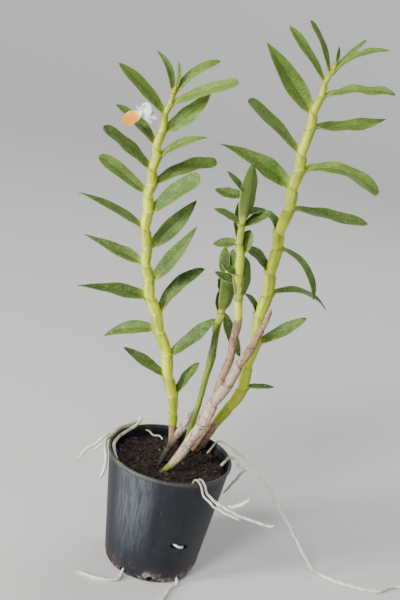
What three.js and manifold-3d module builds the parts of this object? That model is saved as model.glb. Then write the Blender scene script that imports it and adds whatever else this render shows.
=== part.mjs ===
// A potted orchid: a small plastic nursery pot of bark mix with six canes, their leaves, one
// flower and the aerial roots that climb over the rim and out of the drain holes.
// Millimetres, +Z up, origin at the middle of the pot's underside.
import * as THREE from "three";
import { mergeVertices } from "three/addons/utils/BufferGeometryUtils.js";
import Module from "manifold-3d";

const wasm = await Module();
wasm.setup();

// ---- Driving dimensions ----
const GAP = 0.3; // clearance that every pair of touching pieces keeps

const POT_HEIGHT = 78;
const POT_RIM_RADIUS = 40;
const POT_BASE_RADIUS = 30;
const POT_WALL = 1;
const POT_FLOOR = 1.2;
const POT_FOOT_ROUND = 3.5; // radius of the rounded edge under the wall
const RIM_BEAD = 0.6; // how far the bead stands out of the wall
const RIM_BEAD_HEIGHT = 2;
const POT_SEGMENTS = 36;

const DRAIN_HOLES = 10;
const DRAIN_RADIUS = 2.2;
const DRAIN_HEIGHT = 3.3; // middle of each hole above the underside
const DRAIN_FIRST = -49; // azimuth of the first hole, degrees

const SLIT_AZIMUTH = -60;
const SLIT_LENGTH = 13;
const SLIT_WIDTH = 3.4;
const SLIT_HEIGHT = 30;
const SLIT_TILT = 14; // degrees

const HEADSPACE = 7; // from the rim down to the bark mix
const MIX_UNEVENNESS = 0.8;

const CANE_SIDES = 8;
const CANE_STEP = 12;
const LEAF_THICKNESS = 1;
const LEAF_FOLD = 0.26; // rise of a blade's edge over its midrib, as a share of the half width
const SHEATH = 0.8; // wall of the leaf sheath round a young shoot

const ROOT_SIDES = 6;
const ROOT_STEP = 4.5;
const ROOT_RADIUS = 0.95;

const MIX_LEVEL = POT_HEIGHT - HEADSPACE;
const WALL_TOP_RADIUS = POT_RIM_RADIUS - RIM_BEAD;

// ---- Materials ----
function finish(color, roughness) {
  return new THREE.MeshStandardMaterial({ color, roughness, metalness: 0 });
}
const POT_PLASTIC = finish(0x2b2f38, 0.45);
const BARK = finish(0x2a1a12, 0.95);
const GREEN_CANE = finish(0xa3ad45, 0.45);
const YOUNG_STEM = finish(0x7e9a3d, 0.5);
const DRY_CANE = finish(0xc2ab90, 0.75);
const LEAF_GREEN = finish(0x4f7a33, 0.45);
const VELAMEN = finish(0xd9d4c4, 0.8);
const TEPAL_WHITE = finish(0xe9ecf2, 0.5);
const LIP_ORANGE = finish(0xd98a3a, 0.5);

// ---- Solids ----
const radians = THREE.MathUtils.degToRad;

// A closed geometry as a solid that can be joined and cut.
function toSolid(geometry) {
  geometry.deleteAttribute("normal");
  geometry.deleteAttribute("uv");
  const merged = mergeVertices(geometry, 1e-4);
  return new wasm.Manifold(
    new wasm.Mesh({
      numProp: 3,
      vertProperties: merged.attributes.position.array,
      triVerts: new Uint32Array(merged.index.array),
    }),
  );
}

// The solid's largest body as a geometry: a blade cut by its cane may leave a sliver behind it.
function toGeometry(solid) {
  const bodies = solid.decompose();
  bodies.sort((a, b) => b.volume() - a.volume());
  const { vertProperties, triVerts } = bodies[0].getMesh();
  const geometry = new THREE.BufferGeometry();
  geometry.setAttribute("position", new THREE.BufferAttribute(new Float32Array(vertProperties), 3));
  geometry.setIndex(new THREE.BufferAttribute(triVerts, 1));
  geometry.computeVertexNormals();
  return geometry;
}

function namedMesh(name, solid, material) {
  const mesh = new THREE.Mesh(toGeometry(solid), material);
  mesh.name = name;
  return mesh;
}

function fromTriangles(points, triangles) {
  const geometry = new THREE.BufferGeometry().setFromPoints(points);
  geometry.setIndex(triangles);
  return geometry;
}

// A point at an azimuth in degrees, a distance from the pot's axis and a height.
function polar(azimuth, radius, height) {
  const a = radians(azimuth);
  return new THREE.Vector3(radius * Math.cos(a), radius * Math.sin(a), height);
}

// A value read from a list at a place between 0 and 1.
function along(values, place) {
  const at = place * (values.length - 1);
  const i = Math.min(Math.floor(at), values.length - 2);
  return THREE.MathUtils.lerp(values[i], values[i + 1], at - i);
}

// A tube of changing radius along a smooth path, closed to a blunt point at each end.
// path holds the points and radii the radius at each of them; grow thickens it all round.
function tube(path, radii, sides, step, grow = 0) {
  const curve = new THREE.CatmullRomCurve3(path, false, "centripetal");
  const steps = Math.max(4, Math.round(curve.getLength() / step));
  const frames = curve.computeFrenetFrames(steps, false);
  const points = [];
  const triangles = [];
  for (let i = 0; i <= steps; i++) {
    const centre = curve.getPointAt(i / steps);
    const radius = along(radii, curve.getUtoTmapping(i / steps)) + grow;
    for (let k = 0; k < sides; k++) {
      const turn = (2 * Math.PI * k) / sides;
      const point = centre.clone();
      point.addScaledVector(frames.normals[i], radius * Math.cos(turn));
      point.addScaledVector(frames.binormals[i], radius * Math.sin(turn));
      points.push(point);
    }
  }
  const first = points.length;
  const last = first + 1;
  const endReach = (radius) => 0.6 * radius + grow;
  const foot = curve.getPointAt(0).addScaledVector(frames.tangents[0], -endReach(radii[0]));
  const head = curve.getPointAt(1).addScaledVector(frames.tangents[steps], endReach(radii.at(-1)));
  points.push(foot, head);
  for (let k = 0; k < sides; k++) {
    const next = (k + 1) % sides;
    triangles.push(first, next, k);
    for (let i = 0; i < steps; i++) {
      const low = i * sides;
      const high = low + sides;
      triangles.push(low + k, low + next, high + next);
      triangles.push(low + k, high + next, high + k);
    }
    triangles.push(steps * sides + k, steps * sides + next, last);
  }
  return toSolid(fromTriangles(points, triangles));
}

// ---- Pot ----
// Outer radius of the wall at a height.
function wallRadius(height) {
  return POT_BASE_RADIUS + ((WALL_TOP_RADIUS - POT_BASE_RADIUS) * height) / POT_HEIGHT;
}

// A lathe profile is listed in (radius, height); the pieces turn round +Z.
function turned(profile) {
  const points = profile.map(([radius, height]) => new THREE.Vector2(radius, height));
  return toSolid(new THREE.LatheGeometry(points, POT_SEGMENTS).rotateX(Math.PI / 2));
}

function footCurve(radius, round, bottom) {
  const curve = [];
  for (const turn of [0, 45, 90]) {
    const a = radians(turn);
    curve.push([radius - round * (1 - Math.sin(a)), bottom + round * (1 - Math.cos(a))]);
  }
  return curve;
}

function makePot() {
  const beadFoot = POT_HEIGHT - RIM_BEAD_HEIGHT;
  const innerRound = POT_FOOT_ROUND - POT_WALL;
  const inside = footCurve(POT_BASE_RADIUS - POT_WALL, innerRound, POT_FLOOR).reverse();
  let pot = turned([
    [0, 0],
    ...footCurve(POT_BASE_RADIUS, POT_FOOT_ROUND, 0),
    [wallRadius(beadFoot - RIM_BEAD), beadFoot - RIM_BEAD],
    [POT_RIM_RADIUS, beadFoot],
    [POT_RIM_RADIUS, POT_HEIGHT - RIM_BEAD],
    [WALL_TOP_RADIUS, POT_HEIGHT],
    [WALL_TOP_RADIUS - POT_WALL, POT_HEIGHT],
    ...inside,
    [0, POT_FLOOR],
  ]);
  for (let i = 0; i < DRAIN_HOLES; i++) {
    const azimuth = DRAIN_FIRST + (360 * i) / DRAIN_HOLES;
    const hole = new THREE.CylinderGeometry(DRAIN_RADIUS, DRAIN_RADIUS, 4 * POT_FOOT_ROUND, 8);
    hole.rotateZ(Math.PI / 2).translate(POT_BASE_RADIUS, 0, DRAIN_HEIGHT);
    pot = pot.subtract(toSolid(hole.rotateZ(radians(azimuth))));
  }
  const slit = new THREE.BoxGeometry(6 * POT_WALL, SLIT_LENGTH, SLIT_WIDTH);
  slit.rotateX(radians(-SLIT_TILT)).translate(wallRadius(SLIT_HEIGHT), 0, SLIT_HEIGHT);
  return pot.subtract(toSolid(slit.rotateZ(radians(SLIT_AZIMUTH))));
}

// The bark mix fills the pot up to its level, with a slightly uneven top.
function makeMix() {
  const clear = POT_WALL + GAP;
  const round = POT_FOOT_ROUND - clear;
  const profile = [
    [0, POT_FLOOR + GAP],
    ...footCurve(POT_BASE_RADIUS - clear, round, POT_FLOOR + GAP),
    [wallRadius(MIX_LEVEL) - clear, MIX_LEVEL],
    [0.7 * wallRadius(MIX_LEVEL), MIX_LEVEL + 0.5],
    [0.35 * wallRadius(MIX_LEVEL), MIX_LEVEL],
    [0, MIX_LEVEL],
  ].map(([radius, height]) => new THREE.Vector2(radius, height));
  const geometry = new THREE.LatheGeometry(profile, POT_SEGMENTS).rotateX(Math.PI / 2);
  const position = geometry.getAttribute("position");
  for (let i = 0; i < position.count; i++) {
    const [x, y, z] = [position.getX(i), position.getY(i), position.getZ(i)];
    const onTop = z > MIX_LEVEL - 1 ? 1 : 0;
    const wave = Math.sin(x / 6 + 1) * Math.cos(y / 7);
    position.setZ(i, z + onTop * MIX_UNEVENNESS * wave);
  }
  return toSolid(geometry);
}

// ---- Canes ----
// A cane's foot is [azimuth, distance inside the wall at the mix's level], and its rows are
// [x, y, height above the mix, radius], with x and y from the foot; the first lies in the mix.
const CANES = {
  left_cane: {
    foot: [87.6, 14.54],
    rows: [
      [0, 0, -12, 2.2],
      [-2, -0.5, 9, 2.6],
      [-4, -1.5, 25, 3.2],
      [-10, -3, 44, 3.7],
      [-17, -4, 66, 3.8],
      [-26, -6, 87, 3.8],
      [-34.5, -7, 107, 3.6],
      [-39.5, -8.5, 127, 3.4],
      [-43.5, -10, 151, 3.4],
      [-44.5, -12, 179, 3.1],
      [-43.5, -14, 207, 2.8],
      [-41.5, -15.5, 223, 2.2],
      [-40, -16, 232, 1.4],
    ],
  },
  right_cane: {
    foot: [69.4, 12.92],
    rows: [
      [0, 0, -14, 2.2],
      [10.5, 0, 8, 2.7],
      [18.5, 0.5, 25, 3.3],
      [26.5, 1, 42, 3.8],
      [29, 1.5, 65, 3.9],
      [30, 2, 97, 4],
      [31, 3, 124, 3.9],
      [30.5, 3.5, 150, 3.7],
      [32.5, 4, 172, 3.7],
      [33.5, 4.5, 200, 3.5],
      [34.5, 5, 223, 3.2],
      [36.5, 5.5, 240, 2.7],
      [39, 6, 254, 2.1],
      [41, 6, 262, 1.3],
    ],
  },
  middle_cane: {
    foot: [69.1, 20.36],
    rows: [
      [0, 0, -12, 2],
      [3, -1, 3, 2],
      [8.5, -2.5, 24, 2.6],
      [13.5, -3.5, 43, 2.7],
      [17, -5, 62, 2.7],
      [18.5, -6, 81, 2.7],
      [18.5, -7, 95, 2.7],
      [16.5, -8, 109, 2.5],
      [14, -9, 126, 2.3],
      [10.5, -10.5, 144, 2.1],
      [8.5, -11.5, 157, 1.9],
      [7.5, -12.5, 171, 1.8],
      [7, -13, 181, 1.2],
    ],
  },
  green_cane: {
    foot: [79.7, 10.61],
    rows: [
      [0, 0, -12, 1.7],
      [3, 0, 0, 1.8],
      [6, -0.5, 26, 2.1],
      [8, -1, 52, 2.1],
      [9.5, -1, 69, 2.8],
      [9, -1, 81, 2.2],
      [9, -1, 94, 2.2],
      [9, -1.5, 106, 1.9],
      [8, -1.5, 119, 1.6],
      [7, -1.5, 129, 1.3],
    ],
  },
  long_bare_cane: {
    foot: [-123.7, 22.33],
    rows: [
      [0, 0, -8, 1.5],
      [5, -0.5, -2, 1.6],
      [10.5, -0.5, 5, 2.2],
      [15, -1, 13, 3.1],
      [23, -1, 33, 3.7],
      [30, -1.5, 54, 3.4],
      [37, -1.5, 73, 3],
      [41, -2, 85, 2.8],
      [45.5, -2, 99, 2.4],
      [49, -2.5, 109.5, 1.9],
      [50.5, -2.5, 119, 1.2],
    ],
  },
  short_bare_cane: {
    foot: [-156.4, 29.82],
    rows: [
      [0, 0, -8, 1.4],
      [2, -0.5, -2, 1.4],
      [4, -1, 5.5, 1.9],
      [6, -1, 12.5, 2.4],
      [9, -1.5, 19, 2.6],
      [11.5, -2, 26.5, 2.6],
      [13.5, -2, 34.5, 2.5],
      [16, -2.5, 41.5, 1.2],
    ],
  },
};
// A cane's rows with x and y from the pot's axis.
function caneRows(name) {
  const { foot, rows } = CANES[name];
  const start = polar(foot[0], wallRadius(MIX_LEVEL) - foot[1], 0);
  return rows.map(([x, y, height, radius]) => [start.x + x, start.y + y, height, radius]);
}

const CANE_MATERIALS = {
  left_cane: GREEN_CANE,
  right_cane: GREEN_CANE,
  middle_cane: DRY_CANE,
  green_cane: YOUNG_STEM,
  long_bare_cane: DRY_CANE,
  short_bare_cane: DRY_CANE,
};

function makeCane(name, grow = 0) {
  const rows = caneRows(name);
  const path = rows.map(([x, y, height]) => new THREE.Vector3(x, y, height));
  const radii = rows.map((row) => row[3]);
  return tube(path, radii, CANE_SIDES, CANE_STEP, grow);
}

// The cane's middle and radius at a height above the mix.
function caneAt(name, height) {
  const rows = caneRows(name);
  const i = rows.findIndex((row, k) => k > 0 && (row[2] >= height || k === rows.length - 1));
  const [low, high] = [rows[i - 1], rows[i]];
  const share = (height - low[2]) / (high[2] - low[2]);
  const at = low.map((value, k) => THREE.MathUtils.lerp(value, high[k], share));
  return { centre: new THREE.Vector3(at[0], at[1], at[2]), radius: at[3] };
}

// ---- Leaves ----
// A leaf's width as a share of its greatest: half at the base, full at 0.4, a blunt tip.
function bladeWidth(s) {
  const fromBase = 0.5 + 0.5 * Math.sin((Math.min(s / 0.4, 1) * Math.PI) / 2);
  const toTip = s < 0.4 ? 1 : (1 - ((s - 0.4) / 0.6) ** 2.4) ** 0.7;
  return fromBase * toTip;
}

// A V-folded blade that leaves base towards the azimuth. Its slope turns evenly from rise to end
// over its length, and face turns its upper side about its own line towards the front (-Y).
function blade(base, azimuth, length, rise, end, face, width) {
  const stations = [0, 0.1, 0.25, 0.42, 0.6, 0.78, 0.92];
  const ahead = polar(azimuth, 1, 0);
  const across = new THREE.Vector3(ahead.y, -ahead.x, 0);
  if (across.y > 0) across.negate();
  const slope = (s) => radians(rise + (end - rise) * s);
  const points = [];
  const centre = base.clone();
  let reached = 0;
  const moveTo = (s) => {
    const parts = 6;
    for (let k = 0; k < parts; k++) {
      const e = slope(reached + ((s - reached) * (k + 0.5)) / parts);
      const part = ((s - reached) * length) / parts;
      centre.addScaledVector(ahead, part * Math.cos(e));
      centre.z += part * Math.sin(e);
    }
    reached = s;
  };
  for (const s of stations) {
    moveTo(s);
    const e = slope(s);
    const forward = ahead.clone().multiplyScalar(Math.cos(e)).setZ(Math.sin(e));
    const upper = ahead.clone().multiplyScalar(-Math.sin(e)).setZ(Math.cos(e));
    upper.multiplyScalar(Math.cos(radians(face))).addScaledVector(across, Math.sin(radians(face)));
    const side = forward.clone().cross(upper);
    const half = (width / 2) * bladeWidth(s);
    const lift = LEAF_FOLD * half;
    const keel = centre.clone().addScaledVector(upper, -lift / 2);
    points.push(
      keel.clone().addScaledVector(upper, LEAF_THICKNESS / 2),
      keel.clone().addScaledVector(side, half).addScaledVector(upper, lift),
      keel.clone().addScaledVector(upper, -LEAF_THICKNESS / 2),
      keel.clone().addScaledVector(side, -half).addScaledVector(upper, lift),
    );
  }
  moveTo(1);
  points.push(centre);
  const triangles = [0, 2, 1, 0, 3, 2];
  const rings = stations.length;
  for (let k = 0; k < 4; k++) {
    const next = (k + 1) % 4;
    for (let i = 0; i < rings - 1; i++) {
      const [low, high] = [4 * i, 4 * i + 4];
      triangles.push(low + k, low + next, high + next);
      triangles.push(low + k, high + next, high + k);
    }
    triangles.push(4 * (rings - 1) + k, 4 * (rings - 1) + next, 4 * rings);
  }
  return toSolid(fromTriangles(points, triangles));
}

// A leaf row is [height of its node, azimuth, length, rise, end, face, width].
function leafOn(cane, [height, azimuth, ...shape]) {
  const { centre, radius } = caneAt(cane, height);
  const base = centre.addScaledVector(polar(azimuth, 1, 0), 0.8 * radius);
  return blade(base, azimuth, ...shape);
}

// The leaves that stand alone, from the lowest node up.
const SINGLE_LEAVES = {
  left_cane: [
    [38, 20, 26, 70, 55, 15, 9],
    [50, 190, 33, 30, 25, 35, 9],
    [65, -15, 40, 50, 55, 55, 10],
    [80, 170, 36, 0, -45, 45, 10],
    [92, 20, 41, 80, 25, 30, 10],
    [101, 195, 45, 10, -5, 35, 11],
    [113, -20, 47, 57, 65, 85, 11],
    [122, 170, 42, 15, 10, 35, 10],
    [134, 15, 40, 52, 57, 85, 11],
    [145, 190, 45, 30, 10, 30, 9],
    [156, -15, 38, 55, 40, 70, 11],
    [166, 165, 37, 30, 20, 35, 10],
    [173, 20, 41, 47, 7, 35, 10],
    [182, 195, 37, 40, 25, 45, 10],
    [190, -25, 35, 50, 15, 45, 8],
    [196, 165, 34, 50, 15, 25, 9],
    [206, 10, 35, 40, 60, 60, 10],
    [216, 190, 38, 45, 30, 50, 9],
    [222, -10, 41, 38, 20, 55, 8],
  ],
  right_cane: [
    [51, 10, 19, 10, 5, 5, 7],
    [83, -10, 35, 40, 45, 45, 9],
    [101, 170, 16, 80, 15, 15, 7],
    [116, 15, 43, 30, -50, 20, 7],
    [130, 190, 24, 65, 5, 40, 9],
    [146, -15, 41, -5, -85, 20, 7],
    [156, 165, 15, 85, 5, 20, 8],
    [172, 10, 49, 0, -5, 30, 9],
    [185, 185, 51, 33, 8, 60, 13],
    [196, -10, 50, 30, -40, 35, 11],
    [206, 170, 44, 40, 28, 35, 10],
    [223, 15, 46, 5, 25, 30, 10],
    [231, 185, 49, 45, 45, 70, 13],
    [242, -10, 42, 30, -5, 35, 8],
    [250, 170, 38, 52, 38, 35, 8],
  ],
};

// The leaves whose sheaths still wrap one shoot, as one piece from one height up.
const LEAF_TUFTS = {
  left_tip_leaves: {
    cane: "left_cane",
    from: 227,
    leaves: [
      [228, 15, 33, 70, 20, 45, 6],
      [229, 150, 27, 85, 20, 25, 5],
      [231, 40, 16, 75, 120, 0, 4],
    ],
  },
  right_tip_leaves: {
    cane: "right_cane",
    from: 255,
    leaves: [
      [256, 200, 33, 70, 40, 55, 7],
      [256, -20, 36, 60, 5, 40, 6],
      [258, 15, 25, 55, 50, 20, 5],
      [262, 60, 10, 90, 110, 65, 3],
    ],
  },
  middle_shoot_leaves: {
    cane: "middle_cane",
    from: 112,
    leaves: [
      [115, -70, 27, 90, 130, 5, 11],
      [124, 170, 15, 10, 15, 25, 6],
      [130, 200, 12, 15, 35, 35, 5],
      [143, 20, 15, 80, 85, 30, 9],
      [149, 175, 15, -15, -15, 30, 7],
      [150, 150, 24, 60, 95, 0, 5],
      [160, 10, 19, 40, 35, 25, 7],
      [161, 185, 18, 35, 5, 25, 6],
      [163, -60, 35, 90, 100, 0, 10],
      [167, 40, 16, 25, 0, 10, 6],
      [178, 170, 18, -5, 5, 35, 7],
      [180, 190, 17, 45, 35, 35, 5],
    ],
  },
  green_shoot_leaves: {
    cane: "green_cane",
    from: 89,
    leaves: [
      [91, 175, 9, -100, -70, 35, 5],
      [97, -10, 30, -60, -55, 30, 9],
      [98, 170, 14, 65, 95, 20, 6],
      [99, -70, 30, 55, 155, 10, 10],
      [110, 160, 11, 55, 80, 10, 6],
      [122, 120, 18, 55, 80, 75, 8],
      [125, 30, 15, 70, 110, 10, 7],
    ],
  },
};

// The thin sheath round a shoot, from a height up and over its tip.
function sheath(cane, from, grow = 0) {
  const top = CANES[cane].rows.at(-1)[2];
  const steps = Math.max(2, Math.round((top - from) / 8));
  const path = [];
  const radii = [];
  for (let i = 0; i <= steps; i++) {
    const { centre, radius } = caneAt(cane, from + ((top - from) * i) / steps);
    path.push(centre);
    radii.push(radius + GAP + SHEATH + grow);
  }
  return tube(path, radii, CANE_SIDES, CANE_STEP);
}

function tuft({ cane, from, leaves }, bareCane) {
  const whole = leaves.reduce((sum, row) => sum.add(leafOn(cane, row)), sheath(cane, from));
  return whole.subtract(bareCane);
}

// ---- Flower ----
const FLOWER_HEIGHT = 214; // above the mix
const FLOWER_REACH = 11; // from the cane to the flower's middle
const FLOWER_FORWARD = 5.4; // from the cane's middle towards the front
const COLUMN_RADIUS = 1.8;
// Tepals and lip: [azimuth, length, rise, end, face, width].
const TEPALS = [
  [180, 7, 105, 80, 60, 6],
  [0, 7, 85, 60, 60, 5],
  [0, 10, 5, -25, 60, 4],
  [0, 7, -40, -50, 60, 3.5],
  [180, 5, 35, 10, 50, 3],
];
const LIP = [180, 13.5, -50, -10, 50, 10];

function flowerMiddle() {
  const { centre, radius } = caneAt("left_cane", FLOWER_HEIGHT);
  return centre.add(new THREE.Vector3(-FLOWER_REACH - radius, -FLOWER_FORWARD, 0));
}

function ballAt(centre, radius) {
  const ball = new THREE.SphereGeometry(radius, 8, 6);
  return toSolid(ball.translate(centre.x, centre.y, centre.z));
}

function makeTepals(bareCane) {
  const middle = flowerMiddle();
  const { centre } = caneAt("left_cane", FLOWER_HEIGHT);
  const bend = middle.clone().lerp(centre, 0.5).setZ(middle.z + 1);
  let flower = tube([centre, bend, middle], [0.8, 0.8, 1], 6, 3);
  flower = flower.add(ballAt(middle, COLUMN_RADIUS));
  for (const tepal of TEPALS) flower = flower.add(blade(middle, ...tepal));
  return flower.subtract(bareCane);
}

function makeLip() {
  const middle = flowerMiddle();
  return blade(middle, ...LIP).subtract(ballAt(middle, COLUMN_RADIUS + GAP));
}

// ---- Roots ----
// Places on a root's route. Each but overRim's distance and the heights by the surface, drain and
// slit is measured to the skin of a common root, so that the route follows the root's radius.
// Over, beside and inside the rim: an azimuth, a distance from the rim's edge and a height over
// the rim. In the air and by the wall: the height is a share of the pot's, and the distance is
// from the rim's edge or the wall. On the surface: the distance is from the pot's foot. In the
// mix: the distance is inside the wall's outer face.
const aboveRim = (above) => POT_HEIGHT + ROOT_RADIUS + above;
const overRim = (azimuth, out, above) => polar(azimuth, POT_RIM_RADIUS + out, aboveRim(above));
const besideRim = (azimuth, out, above) =>
  polar(azimuth, POT_RIM_RADIUS + ROOT_RADIUS + out, aboveRim(above));
const insideRim = (azimuth, inside, above) =>
  polar(azimuth, POT_RIM_RADIUS - ROOT_RADIUS - inside, aboveRim(above));
const inAir = (azimuth, out, share) =>
  polar(azimuth, POT_RIM_RADIUS + ROOT_RADIUS + out, share * POT_HEIGHT);
const byWall = (azimuth, out, share) =>
  polar(azimuth, wallRadius(share * POT_HEIGHT) + ROOT_RADIUS + out, share * POT_HEIGHT);
const onSurface = (azimuth, out) =>
  polar(azimuth, POT_BASE_RADIUS + out, ROOT_RADIUS * Math.cos(Math.PI / ROOT_SIDES) + 0.15);
const inMix = (azimuth, inside, above) =>
  polar(azimuth, wallRadius(MIX_LEVEL) - ROOT_RADIUS - inside, MIX_LEVEL + above);
const atDrain = (hole, out, above) =>
  polar(DRAIN_FIRST + (360 * hole) / DRAIN_HOLES, POT_BASE_RADIUS + out, DRAIN_HEIGHT + above);
const atSlit = (turn, out, above) =>
  polar(SLIT_AZIMUTH + turn, wallRadius(SLIT_HEIGHT) + out, SLIT_HEIGHT + above);

// thick is the radius as a share of the common root's.
const ROOTS = {
  long_root: {
    thick: 1,
    route: [
      inMix(17, 5.05, -4),
      inMix(14, 2.25, 1),
      insideRim(10, 2.25, -2.45),
      overRim(8, -1.6, 1.15),
      overRim(6.5, 0.6, 1.55),
      besideRim(6, 2.45, 0.25),
      inAir(7, 4.55, 0.965),
      inAir(8, 10.05, 0.945),
      inAir(8, 16.55, 0.915),
      inAir(9, 21.55, 0.885),
      inAir(9, 26.05, 0.815),
      inAir(9.5, 31.05, 0.72),
      inAir(9.5, 38.55, 0.59),
      inAir(9, 52.05, 0.38),
      inAir(9, 62.55, 0.19),
      inAir(9, 69.55, 0.08),
      inAir(8.9, 74.5, 0.026),
      onSurface(8.8, 88),
      onSurface(8.35, 89.5),
      onSurface(6.2, 97),
      onSurface(4.7, 109),
      onSurface(4.2, 125),
      onSurface(5.5, 131),
      onSurface(7, 137),
      onSurface(7.5, 144),
      onSurface(6.5, 157),
    ],
  },
  back_root: {
    thick: 0.85,
    route: [
      inMix(47, 5.05, -4),
      inMix(44, 2.45, 2),
      overRim(40.5, -1.5, 1.05),
      overRim(38, 0.8, 1.45),
      besideRim(35, 2.45, 0.65),
      besideRim(32, 4.55, -0.25),
      inAir(29, 7.55, 0.975),
      inAir(26, 11.05, 0.955),
      inAir(24, 13.65, 0.945),
      inAir(22, 16.05, 0.925),
      inAir(21, 17.05, 0.905),
      inAir(21, 15.65, 0.87),
      inAir(21.5, 12.55, 0.825),
      inAir(22, 10.05, 0.77),
      inAir(22.5, 7.05, 0.7),
      inAir(24, 2.65, 0.605),
    ],
  },
  front_root: {
    thick: 1,
    route: [
      inMix(-60, 5.05, -4),
      inMix(-59, 2.45, 2),
      overRim(-58, -1.5, 1.4),
      overRim(-57, 0.7, 1.7),
      besideRim(-56, 2.6, -0.2),
      inAir(-54, 3.65, 0.955),
      inAir(-50, 6.55, 0.91),
      inAir(-44, 12.55, 0.862),
      inAir(-40, 18.05, 0.84),
      inAir(-36, 23.05, 0.815),
      inAir(-32, 30.05, 0.8),
      inAir(-28.5, 37.55, 0.79),
      inAir(-28, 39.05, 0.81),
    ],
  },
  front_root_branch: {
    thick: 0.95,
    route: [
      inAir(-43, 14.05, 0.882),
      inAir(-39.5, 17.65, 0.9),
      inAir(-37, 21.05, 0.935),
      inAir(-35, 24.05, 0.99),
    ],
  },
  front_side_root: {
    thick: 0.9,
    route: [
      inMix(-64, 5.05, -4),
      inMix(-63, 2.45, 2),
      overRim(-62, -1.5, 1.35),
      overRim(-61, 0.7, 1.65),
      besideRim(-59.5, 2.65, -0.4),
      inAir(-57, 4.05, 0.935),
      inAir(-52.5, 7.25, 0.886),
      inAir(-46, 13.05, 0.841),
      inAir(-41.7, 18.55, 0.818),
      inAir(-39, 23.05, 0.806),
    ],
  },
  rim_root: {
    thick: 1.15,
    route: [
      inMix(-160, 6.05, -4),
      inMix(-166, 2.65, 1.5),
      insideRim(-175, 2.65, -2.45),
      insideRim(168, 2.85, -1.95),
      insideRim(156, 3.25, -1.45),
      insideRim(146, 2.95, -0.95),
      insideRim(137, 2.85, 0.55),
      insideRim(131, 2.05, 3.05),
      overRim(128.5, -1.2, 4.75),
      overRim(131, -0.6, 2.85),
      overRim(137, -0.9, 0.95),
      overRim(146, -0.9, 0.95),
      overRim(157, -0.9, 0.95),
      overRim(168, -0.8, 0.95),
      overRim(177, -0.2, 1.05),
      besideRim(-178, 1.05, -0.45),
      byWall(-176, 1.63, 0.96),
      byWall(-174, 0.89, 0.9),
      byWall(-173, 0.95, 0.83),
      byWall(-174, 1.9, 0.75),
      byWall(-176, 4.35, 0.66),
    ],
  },
  left_long_root: {
    thick: 0.85,
    route: [
      besideRim(169, 0.6, 0.3),
      besideRim(173, 3.6, -1.9),
      inAir(177, 8.05, 0.92),
      inAir(180, 12.05, 0.88),
      inAir(-177, 16.55, 0.79),
    ],
  },
  left_short_root: {
    thick: 0.75,
    route: [
      besideRim(-177, 2.85, -1.95),
      inAir(-176, 4.65, 0.955),
      inAir(-174.5, 7.25, 0.9),
    ],
  },
  surface_root: {
    thick: 0.7,
    route: [
      inMix(104, 11.05, -3),
      inMix(104, 8.55, 0.8),
      inMix(107, 5.05, 1.6),
      inMix(114, 4.05, 1.6),
      inMix(119, 2.65, 4),
      insideRim(123, 2.85, -3.45),
    ],
  },
  drain_root_left: {
    thick: 1,
    route: [
      atDrain(8, -6, 1),
      atDrain(8, -1.2, -0.1),
      onSurface(-118.5, 3.2),
      onSurface(-117, 6.5),
      onSurface(-121, 11.5),
      onSurface(-127, 15.5),
      onSurface(-134, 19.5),
      onSurface(-143, 25.5),
    ],
  },
  drain_root_front: {
    thick: 1,
    route: [
      atDrain(0, -6, 1),
      atDrain(0, -1.2, 0.1),
      onSurface(-52, 3),
      onSurface(-60, 4.5),
      onSurface(-68, 10),
      onSurface(-75, 19),
      onSurface(-78, 29),
    ],
  },
  wall_root: {
    thick: 0.85,
    route: [
      atSlit(-9, -5, 1.9),
      atSlit(-6.5, -1.8, 1.5),
      atSlit(-3, 0.4, 0.7),
      atSlit(2, 0.5, -0.4),
      atSlit(6, -1.6, -1.4),
      atSlit(8.5, -5, -1.9),
    ],
  },
};

function makeRoot(name, grow = 0) {
  const { thick, route } = ROOTS[name];
  const radii = route.map(() => thick * ROOT_RADIUS);
  radii[radii.length - 1] *= 0.6;
  return tube(route, radii, ROOT_SIDES, ROOT_STEP, grow);
}

// ---- Assembly ----
const orchid = new THREE.Group();
const pot = new THREE.Group();
const plant = new THREE.Group();
const roots = new THREE.Group();
plant.position.z = MIX_LEVEL; // the plant's own frame starts at the bark mix's level
orchid.add(pot, plant, roots);

let mix = makeMix();
for (const name of Object.keys(CANES)) {
  mix = mix.subtract(makeCane(name, GAP).translate([0, 0, MIX_LEVEL]));
}
for (const name of Object.keys(ROOTS)) mix = mix.subtract(makeRoot(name, GAP));
pot.add(namedMesh("nursery_pot", makePot(), POT_PLASTIC));
pot.add(namedMesh("potting_mix", mix, BARK));

for (const name of Object.keys(ROOTS)) roots.add(namedMesh(name, makeRoot(name), VELAMEN));

for (const name of Object.keys(CANES)) {
  const shoot = new THREE.Group();
  plant.add(shoot);
  shoot.add(namedMesh(name, makeCane(name), CANE_MATERIALS[name]));
  const bareCane = makeCane(name, GAP);
  let taken = bareCane;
  for (const [tuftName, parts] of Object.entries(LEAF_TUFTS)) {
    if (parts.cane !== name) continue;
    shoot.add(namedMesh(tuftName, tuft(parts, bareCane), LEAF_GREEN));
    taken = taken.add(sheath(name, parts.from, GAP));
  }
  (SINGLE_LEAVES[name] ?? []).forEach((row, i) => {
    const leafName = name + "_leaf_" + String(i + 1).padStart(2, "0");
    shoot.add(namedMesh(leafName, leafOn(name, row).subtract(taken), LEAF_GREEN));
  });
}

const bareLeftCane = makeCane("left_cane", GAP);
plant.add(namedMesh("flower_tepals", makeTepals(bareLeftCane), TEPAL_WHITE));
plant.add(namedMesh("flower_lip", makeLip(), LIP_ORANGE));

export default orchid;
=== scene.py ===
"""Potted orchid: the fine surfaces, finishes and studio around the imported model."""

import math

import bpy
import numpy as np
from bpy.props import FloatProperty, FloatVectorProperty, IntProperty, PointerProperty
from mathutils import Matrix, Vector


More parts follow.
